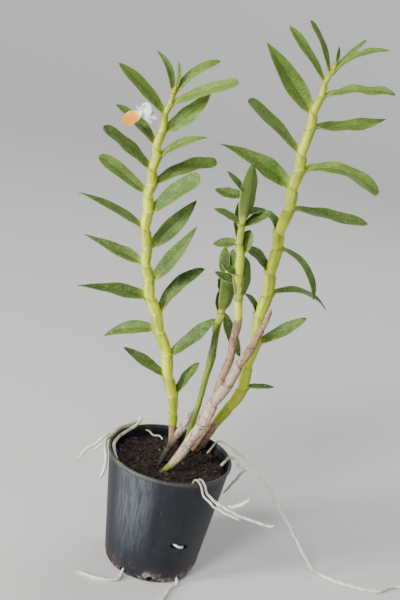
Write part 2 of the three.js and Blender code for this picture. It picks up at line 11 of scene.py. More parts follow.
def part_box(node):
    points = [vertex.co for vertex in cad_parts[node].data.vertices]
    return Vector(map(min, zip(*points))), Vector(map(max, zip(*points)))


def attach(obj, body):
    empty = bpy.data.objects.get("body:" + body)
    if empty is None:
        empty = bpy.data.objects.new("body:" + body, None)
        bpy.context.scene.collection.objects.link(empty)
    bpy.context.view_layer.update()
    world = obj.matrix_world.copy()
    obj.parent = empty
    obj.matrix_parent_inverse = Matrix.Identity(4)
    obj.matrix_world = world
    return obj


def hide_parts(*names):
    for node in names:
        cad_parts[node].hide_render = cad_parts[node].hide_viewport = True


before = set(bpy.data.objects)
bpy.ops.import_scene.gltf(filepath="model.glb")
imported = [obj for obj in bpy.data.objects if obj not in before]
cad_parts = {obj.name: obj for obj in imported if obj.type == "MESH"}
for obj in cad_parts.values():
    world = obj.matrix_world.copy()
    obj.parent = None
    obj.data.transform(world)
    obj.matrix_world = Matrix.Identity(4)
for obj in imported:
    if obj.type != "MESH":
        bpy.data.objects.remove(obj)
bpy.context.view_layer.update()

bl_info = {
    "name": "Potted orchid",
    "version": (1, 0, 0),
    "blender": (4, 5, 0),
    "location": "View3D > Sidebar > Orchid",
    "description": "Builds a cane orchid in a nursery pot over its packed model",
    "category": "Add Mesh",
}

MM = 0.001
BODY = "root"
POT_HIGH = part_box("nursery_pot")[1]

# ---- The plant's plan, in millimetres and degrees ----
HEADSPACE = 7
DRAIN_FIRST = -49
SLIT_AZIMUTH = -60
SLIT_LENGTH = 13
SLIT_WIDTH = 3.4
SLIT_TILT = 14
# The direction, in x and y, that the pot's painted highlight faces: a paler band of colour up the
# side, where the key lamp's reflection would fall.
HIGHLIGHT_WAY = (-0.477, -0.879)
# The radius of a common cane, and how far a node leans to its leaf.
COMMON_CANE = 3.5
NODE_LEAN = 0.8
# How much wider a shoot's sheaths are than its cane.
SHEATH_GROW = 0.45
UP = np.array([0.0, 0.0, 1.0])
# A cane's foot is [azimuth, distance inside the wall at the mix's level]; its rows are
# [x, y, height above the mix, radius], with x and y from the foot.
CANES = {
    "left_cane": ((87.6, 14.54), [
        (0, 0, -12, 2.2), (-2, -0.5, 9, 2.6), (-4, -1.5, 25, 3.2), (-10, -3, 44, 3.7),
        (-17, -4, 66, 3.8), (-26, -6, 87, 3.8), (-34.5, -7, 107, 3.6), (-39.5, -8.5, 127, 3.4),
        (-43.5, -10, 151, 3.4), (-44.5, -12, 179, 3.1), (-43.5, -14, 207, 2.8),
        (-41.5, -15.5, 223, 2.2), (-40, -16, 232, 1.4),
    ]),
    "right_cane": ((69.4, 12.92), [
        (0, 0, -14, 2.2), (10.5, 0, 8, 2.7), (18.5, 0.5, 25, 3.3), (26.5, 1, 42, 3.8),
        (29, 1.5, 65, 3.9), (30, 2, 97, 4), (31, 3, 124, 3.9), (30.5, 3.5, 150, 3.7),
        (32.5, 4, 172, 3.7), (33.5, 4.5, 200, 3.5), (34.5, 5, 223, 3.2), (36.5, 5.5, 240, 2.7),
        (39, 6, 254, 2.1), (41, 6, 262, 1.3),
    ]),
    "middle_cane": ((69.1, 20.36), [
        (0, 0, -12, 2), (3, -1, 3, 2), (8.5, -2.5, 24, 2.6), (13.5, -3.5, 43, 2.7),
        (17, -5, 62, 2.7), (18.5, -6, 81, 2.7), (18.5, -7, 95, 2.7), (16.5, -8, 109, 2.5),
        (14, -9, 126, 2.3), (10.5, -10.5, 144, 2.1), (8.5, -11.5, 157, 1.9),
        (7.5, -12.5, 171, 1.8), (7, -13, 181, 1.2),
    ]),
    "green_cane": ((79.7, 10.61), [
        (0, 0, -12, 1.7), (3, 0, 0, 1.8), (6, -0.5, 26, 2.1), (8, -1, 52, 2.1),
        (9.5, -1, 69, 2.8), (9, -1, 81, 2.2), (9, -1, 94, 2.2), (9, -1.5, 106, 1.9),
        (8, -1.5, 119, 1.6), (7, -1.5, 129, 1.3),
    ]),
    "long_bare_cane": ((-123.7, 22.33), [
        (0, 0, -8, 1.5), (5, -0.5, -2, 1.6), (10.5, -0.5, 5, 2.2), (15, -1, 13, 3.1),
        (23, -1, 33, 3.7), (30, -1.5, 54, 3.4), (37, -1.5, 73, 3), (41, -2, 85, 2.8),
        (45.5, -2, 99, 2.4), (49, -2.5, 109.5, 1.9), (50.5, -2.5, 119, 1.2),
    ]),
    "short_bare_cane": ((-156.4, 29.82), [
        (0, 0, -8, 1.4), (2, -0.5, -2, 1.4), (4, -1, 5.5, 1.9), (6, -1, 12.5, 2.4),
        (9, -1.5, 19, 2.6), (11.5, -2, 26.5, 2.6), (13.5, -2, 34.5, 2.5), (16, -2.5, 41.5, 1.2),
    ]),
}
# A leaf is (height of its node, azimuth, length, rise, end, face, width, point, twist, wave):
# the slope turns from rise to end, face turns the upper side to the front, point sharpens the
# tip from 0, blunt, to 1, twist turns the blade over its length and wave lifts its edges.
LEAVES = {
    "left_cane": [
        (38, 20, 26, 70, 55, 15, 9, 0.5, 10, 0.2),
        (50, 190, 33, 30, 25, 35, 9, 0.5, -8, 0.2),
        (65, -15, 40, 50, 55, 55, 10, 0.4, 12, 0.3),
        (80, 170, 36, 0, -45, 45, 10, 0.9, 0, 0.2),
        (92, 20, 41, 80, 25, 30, 10, 0.4, 8, 0.2),
        (101, 195, 45, 10, -5, 35, 11, 1.4, -10, 0.2),
        (113, -20, 47, 57, 65, 85, 10, 1.1, 0, 0.2),
        (122, 170, 42, 15, 10, 35, 10, 1.4, 6, 0.2),
        (134, 15, 40, 52, 57, 85, 11, 0.9, -6, 0.2),
        (145, 190, 45, 30, 10, 30, 8, 1.4, 25, 0.2),
        (156, -15, 38, 55, 40, 70, 11, -0.4, 0, 0.3),
        (166, 165, 37, 30, 20, 35, 10, -0.2, 10, 0.2),
        (173, 20, 41, 47, 7, 35, 10, -0.4, 0, 0.3),
        (182, 195, 37, 40, 25, 45, 10, -0.2, -10, 0.3),
        (190, -25, 35, 50, 15, 45, 8, 1.3, 35, 0.2),
        (196, 165, 34, 50, 15, 25, 9, 0.4, 0, 0.2),
        (206, 10, 35, 40, 60, 60, 10, 0.8, 0, 0.3),
        (216, 190, 38, 45, 30, 50, 9, 0.5, 10, 0.2),
        (222, -10, 41, 38, 20, 55, 8, -0.4, 0, 0.2),
    ],
    "right_cane": [
        (51, 10, 19, 10, 5, 5, 7, 0.5, 0, 0.1),
        (83, -10, 35, 40, 45, 45, 9, 0.4, 8, 0.2),
        (101, 170, 16, 80, 15, 15, 7, 0.6, 0, 0.1),
        (116, 15, 43, 30, -50, 20, 7, 0.4, -10, 0.2),
        (130, 190, 24, 65, 5, 40, 9, 0.6, 0, 0.2),
        (146, -15, 41, -5, -85, 20, 7, 0.4, 10, 0.2),
        (156, 165, 15, 85, 5, 20, 8, 0.6, 0, 0.1),
        (172, 10, 49, 0, -5, 30, 9, 0.2, 30, 0.3),
        (185, 185, 51, 33, 8, 60, 13, 1.4, -15, 0.3),
        (196, -10, 50, 30, -40, 35, 11, -0.5, 0, 0.3),
        (206, 170, 44, 40, 28, 35, 10, -0.4, 0, 0.2),
        (223, 15, 46, 5, 25, 30, 10, 0.9, 30, 0.5),
        (231, 185, 49, 45, 45, 70, 13, 1.0, 0, 0.3),
        (242, -10, 42, 30, -5, 35, 8, 0.0, 0, 0.7),
        (250, 170, 38, 52, 38, 35, 6.8, 0.2, 30, 0.3),
    ],
}
# The leaves whose sheaths still wrap one shoot, which starts at a height on its cane.
SHOOTS = {
    "left_tip_leaves": ("left_cane", 227, [
        (228, 15, 33, 70, 20, 45, 6, 0.1, 0, 0.1),
        (229, 150, 27, 85, 20, 25, 5, 0.7, 0, 0.1),
        (231, 40, 16, 75, 120, 0, 4, 1.0, 0, 0),
    ]),
    "right_tip_leaves": ("right_cane", 255, [
        (256, 200, 32.7, 70, 40, 55, 5.6, 0.1, 0, 0.3),
        (256, -20, 36, 60, 5, 40, 5.6, 0.5, 10, 0.2),
        (258, 15, 25, 55, 50, 20, 5, 0.3, 0, 0.1),
        (262, 60, 10, 90, 110, 65, 3, 1.0, 0, 0),
    ]),
    "middle_shoot_leaves": ("middle_cane", 112, [
        (115, -70, 27, 90, 130, 5, 12.3, 0.2, 0, 0.2),
        (124, 170, 15, 10, 15, 25, 7.5, 0.7, 0, 0.1),
        (130, 200, 12, 15, 35, 35, 6.2, 0.7, 0, 0.1),
        (143, 20, 15, 80, 85, 30, 10.1, 0.3, 0, 0.1),
        (149, 175, 15, -15, -15, 30, 8.8, 0.6, 0, 0.1),
        (150, 150, 24, 60, 95, 0, 6.2, 0.6, 0, 0.1),
        (160, 10, 19, 40, 35, 25, 8.8, 0.4, 0, 0.1),
        (161, 185, 18, 35, 5, 25, 7.5, 0.6, 0, 0.1),
        (163, -60, 35, 90, 100, 0, 11.2, 0.5, 0, 0.2),
        (167, 40, 16, 25, 0, 10, 7.5, 0.5, 0, 0.1),
        (178, 170, 18, -5, 5, 35, 8.8, 0.6, 0, 0.1),
        (180, 190, 17, 45, 35, 35, 6.2, 0.7, 0, 0.1),
    ]),
    "green_shoot_leaves": ("green_cane", 89, [
        (91, 175, 9, -100, -70, 35, 6.2, 0.5, 0, 0),
        (97, -10, 30, -60, -55, 30, 10.1, 0.5, 0, 0.1),
        (98, 170, 14, 65, 95, 20, 7.5, 0.5, 0, 0.1),
        (99, -70, 30, 55, 155, 10, 11.2, 0.4, 0, 0.2),
        (110, 160, 11, 55, 80, 10, 7.5, 0.5, 0, 0.1),
        (122, 120, 18, 55, 80, 75, 10, 0.5, 0, 0.1),
        (125, 30, 15, 70, 110, 10, 8.8, 0.5, 0, 0.1),
    ]),
}
# How a cane's coat changes with height over the mix: dry sheath, bleached, rusty, fresh, soiled.
COATS = {
    "left_cane": {
        "dry": [(0, 1), (15, 1), (17, 0)],
        "rust": [(0, 0.7), (12, 0.4)],
        "fresh": [(17, 0.35), (60, 0.03), (140, 0.05), (190, 0.18), (222, 0.35), (232, 0.7)],
    },
    "right_cane": {
        "dry": [(0, 1), (21, 1), (24, 0)],
        "rust": [(0, 0.7), (18, 0.4)],
        "fresh": [
            (24, 0.6), (60, 0.5), (90, 0.32), (150, 0.22), (205, 0.28), (245, 0.45), (262, 0.8),
        ],
    },
    "middle_cane": {
        "dry": [(0, 1), (98, 1), (104, 0)],
        "bleach": [(0, 0.45), (50, 0.4), (66, 0.05)],
        "rust": [(30, 0.25), (60, 0.7), (98, 1)],
    },
    "green_cane": {
        "dry": [(0, 0.6), (9, 0)],
        "rust": [(0, 0.9), (12, 0.2)],
        "fresh": [(0, 1), (80, 1)],
        "soil": [(0, 0.5), (14, 0), (62, 0), (67, 0.5), (72, 0.55), (75, 0)],
    },
    "long_bare_cane": {
        "dry": [(3, 0), (9, 0.75), (15, 1)],
        "fresh": [(0, 0.6), (14, 0.6)],
        "bleach": [(8, 0.7), (60, 0.85), (82, 0.6), (98, 0.2)],
        "rust": [(20, 0.1), (58, 0.25), (84, 0.7), (104, 1)],
        "soil": [(0, 0.75), (9, 0.15), (16, 0)],
    },
    "short_bare_cane": {
        "dry": [(0, 1)],
        "bleach": [(12, 0.1), (22, 0.6), (34, 0.95)],
        "rust": [(0, 1), (18, 0.6), (26, 0.1)],
        "soil": [(2, 1), (12, 0.9), (24, 0.45), (32, 0.15), (38, 0)],
    },
}
# The bare nodes of the canes, as (height, azimuth).
BARE_NODES = {
    "left_cane": [(12, 200), (25, 190)],
    "right_cane": [(20, 190), (36, 170), (67, 175)],
    "middle_cane": [(12, 0), (28, 180), (45, 0), (60, 180), (74, 0), (88, 180), (101, 0)],
    "green_cane": [(31, 0), (71, 180)],
    "long_bare_cane": [(22, 180), (38, 0), (53, 180), (67, 0), (81, 180), (94, 0), (107, 180)],
    "short_bare_cane": [(12, 0), (21, 180), (31, 0)],
}

# Roots: each place is (kind, azimuth, distance, height), read by root_place.
ROOTS = {
    "long_root": (1.12, [
        ("mix", 17, 5.05, -4), ("mix", 14, 2.25, 1), ("inside", 10, 2.25, -2.45),
        ("over", 8, -1.6, 1.15), ("over", 6.5, 0.6, 1.55), ("beside", 6, 2.45, 0.25),
        ("air", 7, 4.55, 0.965), ("air", 8, 10.05, 0.945), ("air", 8, 16.55, 0.915),
        ("air", 9, 21.55, 0.885), ("air", 9, 26.05, 0.815), ("air", 9.5, 31.05, 0.72),
        ("air", 9.5, 38.55, 0.59), ("air", 9, 52.05, 0.38), ("air", 9, 62.55, 0.19),
        ("air", 9, 69.55, 0.08), ("air", 8.9, 74.5, 0.026), ("ground", 8.8, 88, 0),
        ("ground", 8.35, 89.5, 0), ("ground", 6.2, 97, 0), ("ground", 4.7, 109, 0),
        ("ground", 4.2, 125, 0), ("ground", 5.5, 131, 0), ("ground", 7, 137, 0),
        ("ground", 7.5, 144, 0), ("ground", 6.5, 157, 0),
    ]),
    "back_root": (0.85, [
        ("mix", 47, 5.05, -4), ("mix", 44, 2.45, 2), ("over", 40.5, -1.5, 1.05),
        ("over", 38, 0.8, 1.45), ("beside", 35, 2.45, 0.65), ("beside", 32, 4.55, -0.25),
        ("air", 29, 7.55, 0.975), ("air", 26, 11.05, 0.955), ("air", 24, 13.65, 0.945),
        ("air", 22, 16.05, 0.925), ("air", 21, 17.05, 0.905), ("air", 21, 15.65, 0.87),
        ("air", 21.5, 12.55, 0.825), ("air", 22, 10.05, 0.77), ("air", 22.5, 7.05, 0.7),
        ("air", 24, 2.65, 0.605),
    ]),
    "front_root": (0.75, [
        ("mix", -60, 5.05, -4), ("mix", -59, 2.45, 2), ("over", -58, -1.5, 1.4),
        ("over", -57, 0.7, 1.7), ("beside", -56, 2.6, -0.2), ("air", -54, 3.65, 0.955),
        ("air", -50, 6.55, 0.91), ("air", -44, 12.55, 0.862), ("air", -40, 18.05, 0.84),
        ("air", -36, 23.05, 0.815), ("air", -32, 30.05, 0.8), ("air", -28.5, 37.55, 0.79),
        ("air", -28, 39.05, 0.81),
    ]),
    "front_root_branch": (0.95, [
        ("air", -43, 14.05, 0.882), ("air", -39.5, 17.65, 0.9), ("air", -37, 21.05, 0.935),
        ("air", -35, 24.05, 0.99),
    ]),
    "front_side_root": (0.62, [
        ("mix", -64, 5.05, -4), ("mix", -63, 2.45, 2), ("over", -62, -1.5, 1.35),
        ("over", -61, 0.7, 1.65), ("beside", -59.5, 2.65, -0.4), ("air", -57, 4.05, 0.935),
        ("air", -52.5, 7.25, 0.886), ("air", -46, 13.05, 0.841), ("air", -41.7, 18.55, 0.818),
        ("air", -39, 23.05, 0.806),
    ]),
    "rim_root": (1.15, [
        ("mix", -160, 6.05, -4), ("mix", -166, 2.65, 1.5), ("inside", -175, 2.65, -2.45),
        ("inside", 168, 2.85, -1.95), ("inside", 156, 3.25, -1.45), ("inside", 146, 2.95, -0.95),
        ("inside", 137, 2.85, 0.55), ("inside", 131, 2.05, 3.05), ("over", 128.5, -1.2, 4.75),
        ("over", 131, -0.6, 2.85), ("over", 137, -0.9, 0.95), ("over", 146, -0.9, 0.95),
        ("over", 157, -0.9, 0.95), ("over", 168, -0.8, 0.95), ("over", 177, -0.2, 1.05),
        ("beside", -178, 1.05, -0.45), ("wall", -176, 1.63, 0.96), ("wall", -174, 0.89, 0.9),
        ("wall", -173, 0.95, 0.83), ("wall", -174, 1.9, 0.75), ("wall", -176, 4.35, 0.66),
    ]),
    "left_long_root": (0.85, [
        ("beside", 169, 0.6, 0.3), ("beside", 173, 3.6, -1.9), ("air", 177, 8.05, 0.92),
        ("air", 180, 12.05, 0.88), ("air", -177, 16.55, 0.79),
    ]),
    "left_short_root": (0.75, [
        ("beside", -177, 2.85, -1.95), ("air", -176, 4.65, 0.955), ("air", -174.5, 7.25, 0.9),
    ]),
    "surface_root": (0.7, [
        ("mix", 104, 11.05, -3), ("mix", 104, 8.55, 0.8), ("mix", 107, 5.05, 1.6),
        ("mix", 114, 4.05, 1.6), ("mix", 119, 2.65, 4), ("inside", 123, 2.85, -3.45),
    ]),
    "drain_root_left": (1, [
        ("drain", 8, -6, 1), ("drain", 8, -1.2, -0.1), ("ground", -118.5, 3.2, 0),
        ("ground", -117, 6.5, 0), ("ground", -121, 11.5, 0), ("ground", -127, 15.5, 0),
        ("ground", -134, 19.5, 0), ("ground", -143, 25.5, 0),
    ]),
    "drain_root_front": (1, [
        ("drain", 0, -6, 1), ("drain", 0, -1.2, 0.1), ("ground", -52, 3, 0),
        ("ground", -60, 4.5, 0), ("ground", -68, 10, 0), ("ground", -75, 19, 0),
        ("ground", -78, 29, 0),
    ]),
    "wall_root": (0.85, [
        ("slit", -9, -5, 1.9), ("slit", -6.5, -1.8, 1.5), ("slit", -3, 0.4, 0.7),
        ("slit", 2, 0.5, -0.4), ("slit", 6, -1.6, -1.4), ("slit", 8.5, -5, -1.9),
    ]),
}

# Tepals and lip, as a leaf's row from its azimuth on.
TEPALS = [
    (0, 7.0, 60, 35, 60, 9.2, 0, 0, 0.2),
    (180, 5.2, 110, 95, 60, 5, 0.3, 0, 0.2),
    (0, 10, 5, -25, 60, 4.2, 0.7, 10, 0.2),
    (0, 8.5, -25, -45, 60, 3.6, 0.7, 10, 0.2),
    (180, 5.5, 55, 35, 50, 3, 0.9, 0, 0.1),
]
LIP = (180, 13.5, -50, -10, 50, 10, 0, 0, 0.1)
TEPAL_SHAPE = {"thickness": 0.5, "rib": 0.05, "clasp": 0.3, "fold": -0.2}
LIP_SHAPE = {
    "thickness": 0.5,
    "fold": 0.62,
    "soft": 1.5,
    "rib": 0,
    "clasp": 0.2,
    "ribs": 0.09,
    "stations": 96,
    "around": 96,
}

# Seeds of the random draws. Leaves and tepals count up from the seed given here; the shoots
# and the roots each take the next of theirs.
LEAF_SEEDS = {"left_cane": 460, "right_cane": 500}
SHOOT_SEEDS = range(700, 820, 30)
ROOT_SEEDS = range(300, 384, 7)
TEPAL_SEED = 900
LIP_SEED = 950
CHIP_SEED = 8

# ---- The studio, in metres ----
FLOOR_FLAT = 1.8
FLOOR_BEND = 2.6
FLOOR_BELOW = 0.0002
LAMP_TARGET = (0, 0, 0.17)
# Suns are (place, share of the strength, angle across); lamps are (place, size, share of the
# power, colour).
SUNS = {
    "sun": ((-0.65, -1.1, 1.25), 1, 14),
    "sky": ((0.9, 0.9, 1.3), 0.38, 50),
}
LAMPS = {
    "key": ((-0.95, -0.62, 0.34), (0.2, 0.66), 1.0, (1.0, 0.985, 0.95)),
    "fill": ((1.0, -0.8, 0.5), (0.8, 0.8), 0.1, (0.93, 0.97, 1.0)),
    "back": ((0.5, 0.9, 1.0), (0.7, 0.7), 0.16, (1.0, 1.0, 1.0)),
}
SKY_COLOUR = (0.80, 0.82, 0.85, 1)
SKY_STRENGTH = 0.3
SENSOR_WIDTH = 36
CAMERA_PLACE = (-0.0008, -0.550, 0.3545)


# ---- Settings ----
def colour_property(name, description, default):
    return FloatVectorProperty(
        name=name, description=description, subtype="COLOR", size=3, min=0, max=1, default=default
    )


def length_property(name, description, default):
    return FloatProperty(
        name=name, description=description, default=default, min=0, unit="LENGTH", precision=5
    )


def share_property(name, description, default):
    return FloatProperty(name=name, description=description, default=default, subtype="FACTOR")


def angle_property(name, description, degrees):
    angle = math.radians(degrees)
    return FloatProperty(name=name, description=description, default=angle, unit="ROTATION")


class PotSettings(bpy.types.PropertyGroup):
    """The nursery pot's sizes and colour."""

    height: length_property("Height", "From the underside to the rim", POT_HIGH.z)
    rim_radius: length_property("Rim radius", "Outside the bead", POT_HIGH.y)
    base_radius: length_property("Base radius", "Outside the wall at the foot", 30 * MM)
    wall: length_property("Wall", "Thickness of the plastic", 1 * MM)
    floor: length_property("Floor", "Thickness of the bottom", 1.2 * MM)
    foot_round: length_property("Foot round", "Radius of the edge under the wall", 3.5 * MM)
    bead: length_property("Bead", "How far the rim's bead stands out", 0.6 * MM)
    bead_height: length_property("Bead height", "Height of the rim's bead", 2 * MM)
    drain_radius: length_property("Drain hole radius", "Radius of each hole", 2.2 * MM)
    drain_height: length_property("Drain hole height", "Middle of each hole", 3.3 * MM)
    drain_holes: IntProperty(name="Drain holes", description="Holes round the foot", default=10)
    slit_height: length_property("Slit height", "Middle of the slit in the wall", 30 * MM)
    colour: colour_property("Colour", "Plastic", (0.004, 0.005, 0.0075))


class MixSettings(bpy.types.PropertyGroup):
    """The bark mix."""

    chips: IntProperty(name="Chips", description="Bark chips on the mix", default=1600, min=0)
    chip_length: length_property("Chip length", "Length of a common chip", 3 * MM)
    colour_dark: colour_property("Dark colour", "Damp bark", (0.009, 0.0045, 0.0035))
    colour_light: colour_property("Light colour", "Dry edges of the bark", (0.046, 0.019, 0.013))


class CaneSettings(bpy.types.PropertyGroup):
    """The canes and their sheaths."""

    rim_step: length_property("Rim step", "How far a sheath's rim stands out", 0.34 * MM)
    rim_drop: length_property("Rim drop", "How far a rim runs down round the cane", 4.2 * MM)
    swell: share_property("Swell", "Swelling between the nodes", 0.13)
    colour_yellow: colour_property("Yellow", "Sunlit side of a sheath", (0.72, 0.78, 0.012))
    colour_green: colour_property("Green", "Shaded side of a sheath", (0.27, 0.38, 0.008))
    colour_papery: colour_property("Papery", "Dried sheath", (0.40, 0.23, 0.12))
    colour_bleached: colour_property("Bleached", "Old bare cane", (0.63, 0.57, 0.47))
    colour_rust: colour_property("Rust", "Stained sheath", (0.26, 0.10, 0.04))


class LeafSettings(bpy.types.PropertyGroup):
    """The leaf blades."""

    thickness: length_property("Thickness", "Thickness at the midrib", 0.95 * MM)
    fold: share_property("Fold", "Rise of an edge over the midrib", 0.4)
    colour_deep: colour_property("Deep green", "Shaded parts of a blade", (0.026, 0.062, 0.004))
    colour_fresh: colour_property("Fresh green", "Sunlit parts of a blade", (0.15, 0.25, 0.026))
    colour_margin: colour_property("Margin", "Edge of a blade", (0.33, 0.40, 0.10))


class RootSettings(bpy.types.PropertyGroup):
    """The aerial roots."""

    radius: length_property("Radius", "Radius of a common root", 0.95 * MM)
    knobs: share_property("Knobs", "Unevenness of the roots", 0.13)
    colour: colour_property("Colour", "Dry velamen", (0.84, 0.82, 0.76))
    colour_tip: colour_property("Tip", "Growing tip", (0.34, 0.33, 0.17))


class FlowerSettings(bpy.types.PropertyGroup):
    """The flower."""

    height: length_property("Height", "Above the bark mix", 214 * MM)
    reach: length_property("Reach", "From the cane to the flower's middle", 11 * MM)
    forward: length_property("Forward", "From the cane towards the front", 5.4 * MM)
    colour_white: colour_property("White", "Tepals", (0.82, 0.84, 0.86))
    colour_orange: colour_property("Orange", "Lip", (0.74, 0.24, 0.001))
    colour_cream: colour_property("Cream", "Margin of the lip", (0.86, 0.62, 0.10))


class StageSettings(bpy.types.PropertyGroup):
    """The floor, the lamps and the camera."""

    floor_colour: colour_property("Floor colour", "Pale studio floor", (0.66, 0.66, 0.65))
    lens: FloatProperty(name="Lens", description="Focal length in millimetres", default=57)
    pitch: angle_property("Pitch", "Below the horizon", 17.41)
    roll: angle_property("Roll", "About the view", 11.39)
    lamp_power: FloatProperty(name="Lamp power", description="Main lamp, in watts", default=24)
    sun_strength: FloatProperty(name="Sun strength", description="Broad light", default=1.9)


class OrchidSettings(bpy.types.PropertyGroup):
    """All settings of the potted orchid."""

    pot: PointerProperty(type=PotSettings)
    mix: PointerProperty(type=MixSettings)
    cane: PointerProperty(type=CaneSettings)
    leaf: PointerProperty(type=LeafSettings)
    root: PointerProperty(type=RootSettings)
    flower: PointerProperty(type=FlowerSettings)
    stage: PointerProperty(type=StageSettings)


# ---- Surfaces ----
class Shell:
    """A closed surface: points, quads, triangles, the values that each point carries, and the
    number of its finish, which is one for each face once shells are joined."""

    def __init__(self, points, quads, triangles, carried, finish=0):
        self.points, self.quads, self.triangles = points, quads, triangles
        self.carried = carried
        self.finish = finish

    def size(self):
        return len(self.points)


def ring_faces(n, m, foot, head):
    """The quads that join n rings of m points, and the fans of triangles that close them with
    the poles at the indices foot and head. The head's fan comes first."""
    k = np.arange(m)
    after = (k + 1) % m
    low = np.arange(n - 1)[:, None] * m
    quads = np.stack([low + k, low + after, low + m + after, low + m + k], -1).reshape(-1, 4)
    last = (n - 1) * m
    to_head = np.stack([last + k, last + after, np.full(m, head)], -1)
    to_foot = np.stack([np.full(m, foot), after, k], -1)
    return quads, np.concatenate([to_head, to_foot])


def ring_shell(rings, foot, head, carried, finish=0):
    """Rings of points along a line, each joined to the next by quads, with a fan of triangles to
    a pole at either end. Each ring turns anticlockwise as seen from the head. A value carried
    to a pole is the mean of its ring's."""
    n, m, _ = rings.shape
    points = np.concatenate([rings.reshape(-1, 3), [head, foot]])
    data = {
        name: np.concatenate([value.reshape(n * m, -1), value[-1:].mean(1), value[:1].mean(1)])
        for name, value in carried.items()
    }
    return Shell(points, *ring_faces(n, m, n * m + 1, n * m), data, finish)


def join_shells(shells):
    """Several shells as one; a value that a shell doesn't carry is nought on it."""
    widths = {name: v.shape[1] for s in shells for name, v in s.carried.items()}
    starts = np.cumsum([0] + [s.size() for s in shells[:-1]])
    carried = {
        name: np.concatenate([s.carried.get(name, np.zeros((s.size(), w))) for s in shells])
        for name, w in widths.items()
    }
    quads = np.concatenate([s.quads + a for s, a in zip(shells, starts)])
    triangles = np.concatenate([s.triangles + a for s, a in zip(shells, starts)])
    joined = Shell(np.concatenate([s.points for s in shells]), quads, triangles, carried)
    joined.finish = np.concatenate(
        [np.full(len(s.quads), s.finish) for s in shells]
        + [np.full(len(s.triangles), s.finish) for s in shells]
    )
    return joined


def lay_mesh(name, shell):
    """A Blender mesh of the shell, smooth, with its carried values as point attributes."""
    mesh = bpy.data.meshes.new(name)
    mesh.vertices.add(shell.size())
    mesh.vertices.foreach_set("co", shell.points.astype(np.float32).ravel())
    corners = np.concatenate([shell.quads.ravel(), shell.triangles.ravel()])
    mesh.loops.add(len(corners))
    mesh.loops.foreach_set("vertex_index", corners.astype(np.int32))
    nq, nt = len(shell.quads), len(shell.triangles)
    starts = np.concatenate([np.arange(nq) * 4, nq * 4 + np.arange(nt) * 3])
    mesh.polygons.add(nq + nt)
    mesh.polygons.foreach_set("loop_start", starts.astype(np.int32))
    mesh.polygons.foreach_set("use_smooth", np.ones(nq + nt, bool))
    if np.ndim(shell.finish):
        mesh.polygons.foreach_set("material_index", shell.finish.astype(np.int32))
    mesh.update(calc_edges=True)
    for key, value in shell.carried.items():
        kind, field = ("FLOAT", "value") if value.shape[1] == 1 else ("FLOAT_VECTOR", "vector")
        attribute = mesh.attributes.new(key, kind, "POINT")
        attribute.data.foreach_set(field, value.astype(np.float32).ravel())
    if mesh.validate():
        raise RuntimeError(name + " has a fault in its mesh")
    return mesh


def add_piece(name, mesh, finishes, nodes):
    """Puts a finished mesh in the scene as a piece that stands for its CAD nodes."""
    piece = bpy.data.objects.new(name, mesh)
    bpy.context.scene.collection.objects.link(piece)
    for finish in finishes:
        mesh.materials.append(finish)
    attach(piece, BODY)
    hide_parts(*nodes)
    return piece


def smooth_line(rows, count, crowd=0.0):
    """A smooth line through rows of [x, y, z, ...] by cubic spans whose knots are the square root
    of the distance apart, at count places by length; crowd from 0 to 1 gathers the places at the
    ends. Returns the places' rows and their lengths along the line."""
    p = np.asarray(rows, float)
    gap = np.sqrt(steps_along(p))
    knot = np.concatenate([[0], np.cumsum(gap)])
    slope = np.gradient(p, knot, axis=0)

    def at(t):
        i = np.clip(np.searchsorted(knot, t, side="right") - 1, 0, len(gap) - 1)
        h = gap[i][:, None]
        w = (t - knot[i])[:, None] / h
        return (
            (1 + 2 * w) * (1 - w) ** 2 * p[i]
            + w * (1 - w) ** 2 * h * slope[i]
            + w * w * (3 - 2 * w) * p[i + 1]
            + w * w * (w - 1) * h * slope[i + 1]
        )

    dense = np.linspace(0, knot[-1], 80 * len(gap))
    run = np.concatenate([[0], np.cumsum(steps_along(at(dense)))])
    share = np.linspace(0, 1, count)
    share = share - crowd * np.sin(2 * np.pi * share) / (2 * np.pi)
    length = share * run[-1]
    return at(np.interp(length, run, dense)), length


def unit(v):
    return v / np.maximum(np.linalg.norm(v, axis=-1, keepdims=True), 1e-12)


def steps_along(rows):
    """The distances from each of a line's rows [x, y, z, ...] to the next."""
    return np.linalg.norm(np.diff(rows[:, :3], axis=0), axis=1)


def turns(count, start=0):
    """Evenly spaced angles round a ring; start shifts them by a share of their step."""
    return (np.arange(count) + start) * 2 * np.pi / count


def ring_ways(first, second, turn):
    """The directions of a ring's points from its middle, at every place of a line: the first
    direction by the cosine of the turn and the second by its sine."""
    return first[:, None] * np.cos(turn)[:, None] + second[:, None] * np.sin(turn)[:, None]


def level_rings(turn, radius, height):
    """Rings about +Z: radius by the turn's cosine and sine, and the height of each ring."""
    x, y = radius * np.cos(turn), radius * np.sin(turn)
    return np.stack([x, y, np.broadcast_to(height, x.shape)], -1)


def signed_power(value, power):
    """A power of a number's size, with the number's own sign."""
    return np.sign(value) * np.abs(value) ** power


def side_frames(centre, towards):
    """Tangents of a line and two directions across it, the first leaning to a fixed direction."""
    tangent = unit(np.gradient(centre, axis=0))
    first = unit(towards - tangent * (tangent @ towards)[:, None])
    return tangent, first, np.cross(tangent, first)


def carried_frames(centre):
    """Tangents of a line and two directions across it, carried along it without twisting."""
    tangent = unit(np.gradient(centre, axis=0))
    start = np.eye(3)[np.argmin(np.abs(tangent[0]))]
    first = np.empty_like(tangent)
    for i, t in enumerate(tangent):
        start = start - t * (start @ t)
        start = start / np.linalg.norm(start)
        first[i] = start
    return tangent, first, np.cross(tangent, first)


